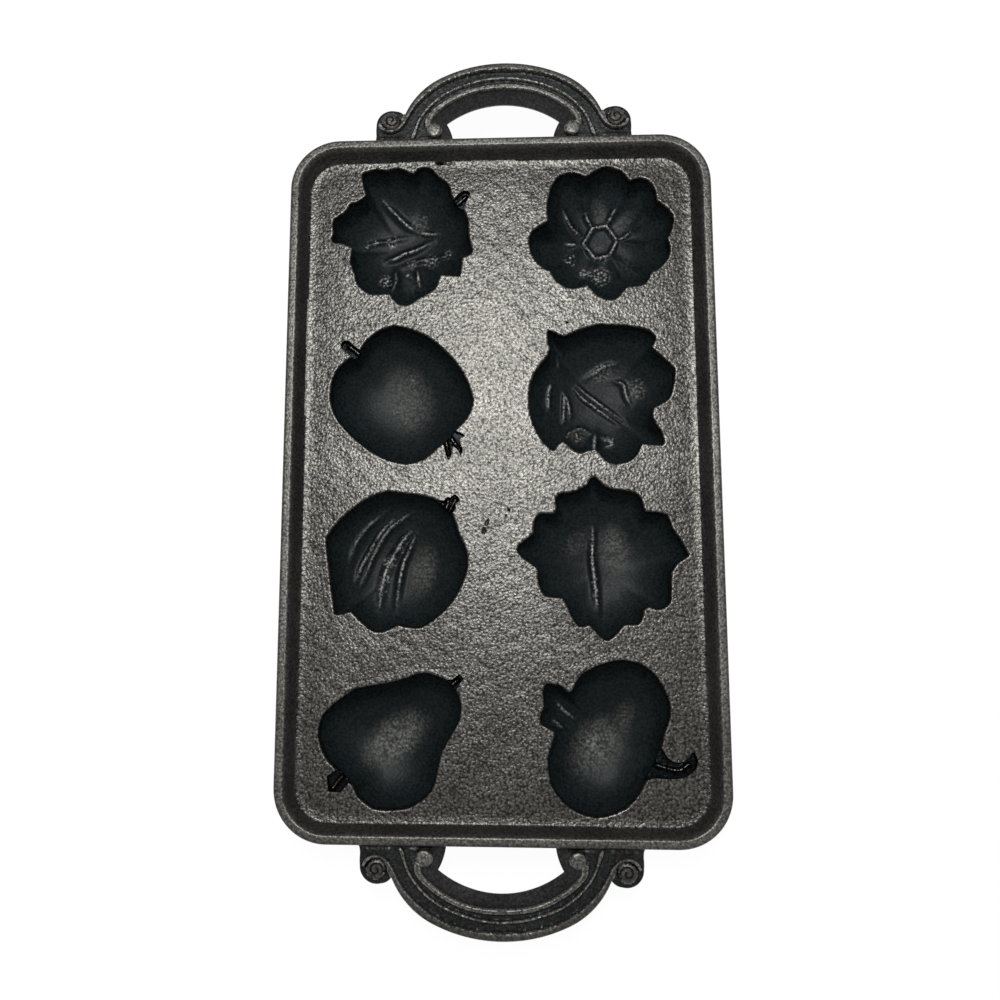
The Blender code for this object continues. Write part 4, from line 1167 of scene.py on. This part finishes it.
def build_stage():
    """Pale floor that looks white and keeps the pan's soft shadow."""
    corners = [(x * FLOOR_REACH, y * FLOOR_REACH, -FLOOR_DROP)
               for x, y in ((-1, -1), (1, -1), (1, 1), (-1, 1))]
    floor = add_mesh("floor", corners, [(0, 1, 2, 3)])
    material = bpy.data.materials.new("floor_paper")
    material.use_nodes = True
    tree = material.node_tree
    tree.nodes.clear()
    # The glow is for rays that see the floor and not for those that carry light
    path = add_node(tree, "LightPath").outputs
    seen = combine(tree, "MAXIMUM", path["Is Camera Ray"], path["Is Glossy Ray"])
    seen = combine(tree, "MAXIMUM", seen, path["Is Transmission Ray"])
    matte = add_node(tree, "BsdfDiffuse", {"Color": FLOOR_COLOUR})
    glow = add_node(tree, "Emission", {"Strength": GLOW_STRENGTH})
    mix = add_node(tree, "MixShader", {
        0: combine(tree, "MULTIPLY", seen, FLOOR_GLOW), 1: matte.outputs["BSDF"],
        2: glow.outputs["Emission"]})
    add_node(tree, "OutputMaterial", {"Surface": mix.outputs["Shader"]})
    floor.data.materials.append(material)


def build_light():
    """One soft lamp above the far side and an even, plain surround."""
    world = bpy.data.worlds.new("studio")
    bpy.context.scene.world = world
    world.use_nodes = True
    sky = world.node_tree.nodes["Background"]
    sky.inputs["Color"].default_value = WORLD_COLOUR
    sky.inputs["Strength"].default_value = WORLD_STRENGTH
    lamp = bpy.data.lights.new("key", "AREA")
    lamp.shape = "RECTANGLE"
    lamp.size, lamp.size_y = KEY_SIZE
    lamp.energy = KEY_POWER
    key = add_object("key", lamp)
    key.location = KEY_PLACE
    across, along, up = KEY_PLACE
    key.rotation_euler = (-math.atan2(along, up), math.atan2(across, up), 0.0)


def build_camera():
    """Camera at the photograph's place, angle and framing."""
    data = bpy.data.cameras.new("camera")
    data.sensor_width = CAMERA_SENSOR
    data.lens = CAMERA_SENSOR * CAMERA_FOCAL_PIXELS / PICTURE_PIXELS
    data.shift_x = (PICTURE_PIXELS / 2.0 - PICTURE_CENTRE[0]) / PICTURE_PIXELS
    data.shift_y = (PICTURE_CENTRE[1] - PICTURE_PIXELS / 2.0) / PICTURE_PIXELS
    data.clip_start = 0.01
    camera = add_object("camera", data)
    camera.location = CAMERA_PLACE
    camera.rotation_euler = [math.radians(angle) for angle in CAMERA_TURN]
    bpy.context.scene.camera = camera


def build_pan():
    """Make every piece, dress it and hang it on the model."""
    # Each iron has a colour for its painted shade and a lighter one for wear and painted highlights
    deck_iron = iron_material(
        "deck_iron", base=(0.089, 0.086, 0.0785), shade_colour=(0.0055, 0.0072, 0.0078),
        worn_and_lit=(0.19, 0.186, 0.176), metallic=0.85, roughness=0.28, specular=0.25, grain=0.00015,
        speckles=(0.35, 1.8), rub_and_sheen=(0.42, 0.56))
    border_iron = iron_material(
        "border_iron", base=(0.086, 0.084, 0.077), shade_colour=(0.018, 0.021, 0.0225),
        worn_and_lit=(0.23, 0.222, 0.205), metallic=0.75, roughness=0.35, specular=0.2, grain=0.00011,
        speckles=(0.65, 1.35), rub_and_sheen=(0.35, 0.55))
    cup_iron = iron_material(
        "cup_iron", base=(0.020, 0.029, 0.032), shade_colour=(0.0055, 0.0095, 0.0105),
        worn_and_lit=(0.55, 0.55, 0.53), metallic=0.1, roughness=0.40, specular=0.2, grain=0.00009,
        speckles=(0.5, 1.5), rub_and_sheen=(0.36, 0.54))
    cups = [(name, (side * COLUMN_X, ROW_PITCH * (1.5 - row)), trace(outline), keep)
            for name, side, row, outline, keep in CUPS]
    for cup in cups:
        dress(build_cup(*cup), cup_iron, "cup_" + cup[0])
    dress(build_deck(cups), deck_iron, "tray_plate")
    dress(build_rim(), border_iron, "tray_rim")
    build_handle("far", 1, border_iron)
    build_handle("near", -1, border_iron)


build_pan()
build_stage()
build_light()
build_camera()
bpy.context.scene.view_settings.view_transform = "Standard"
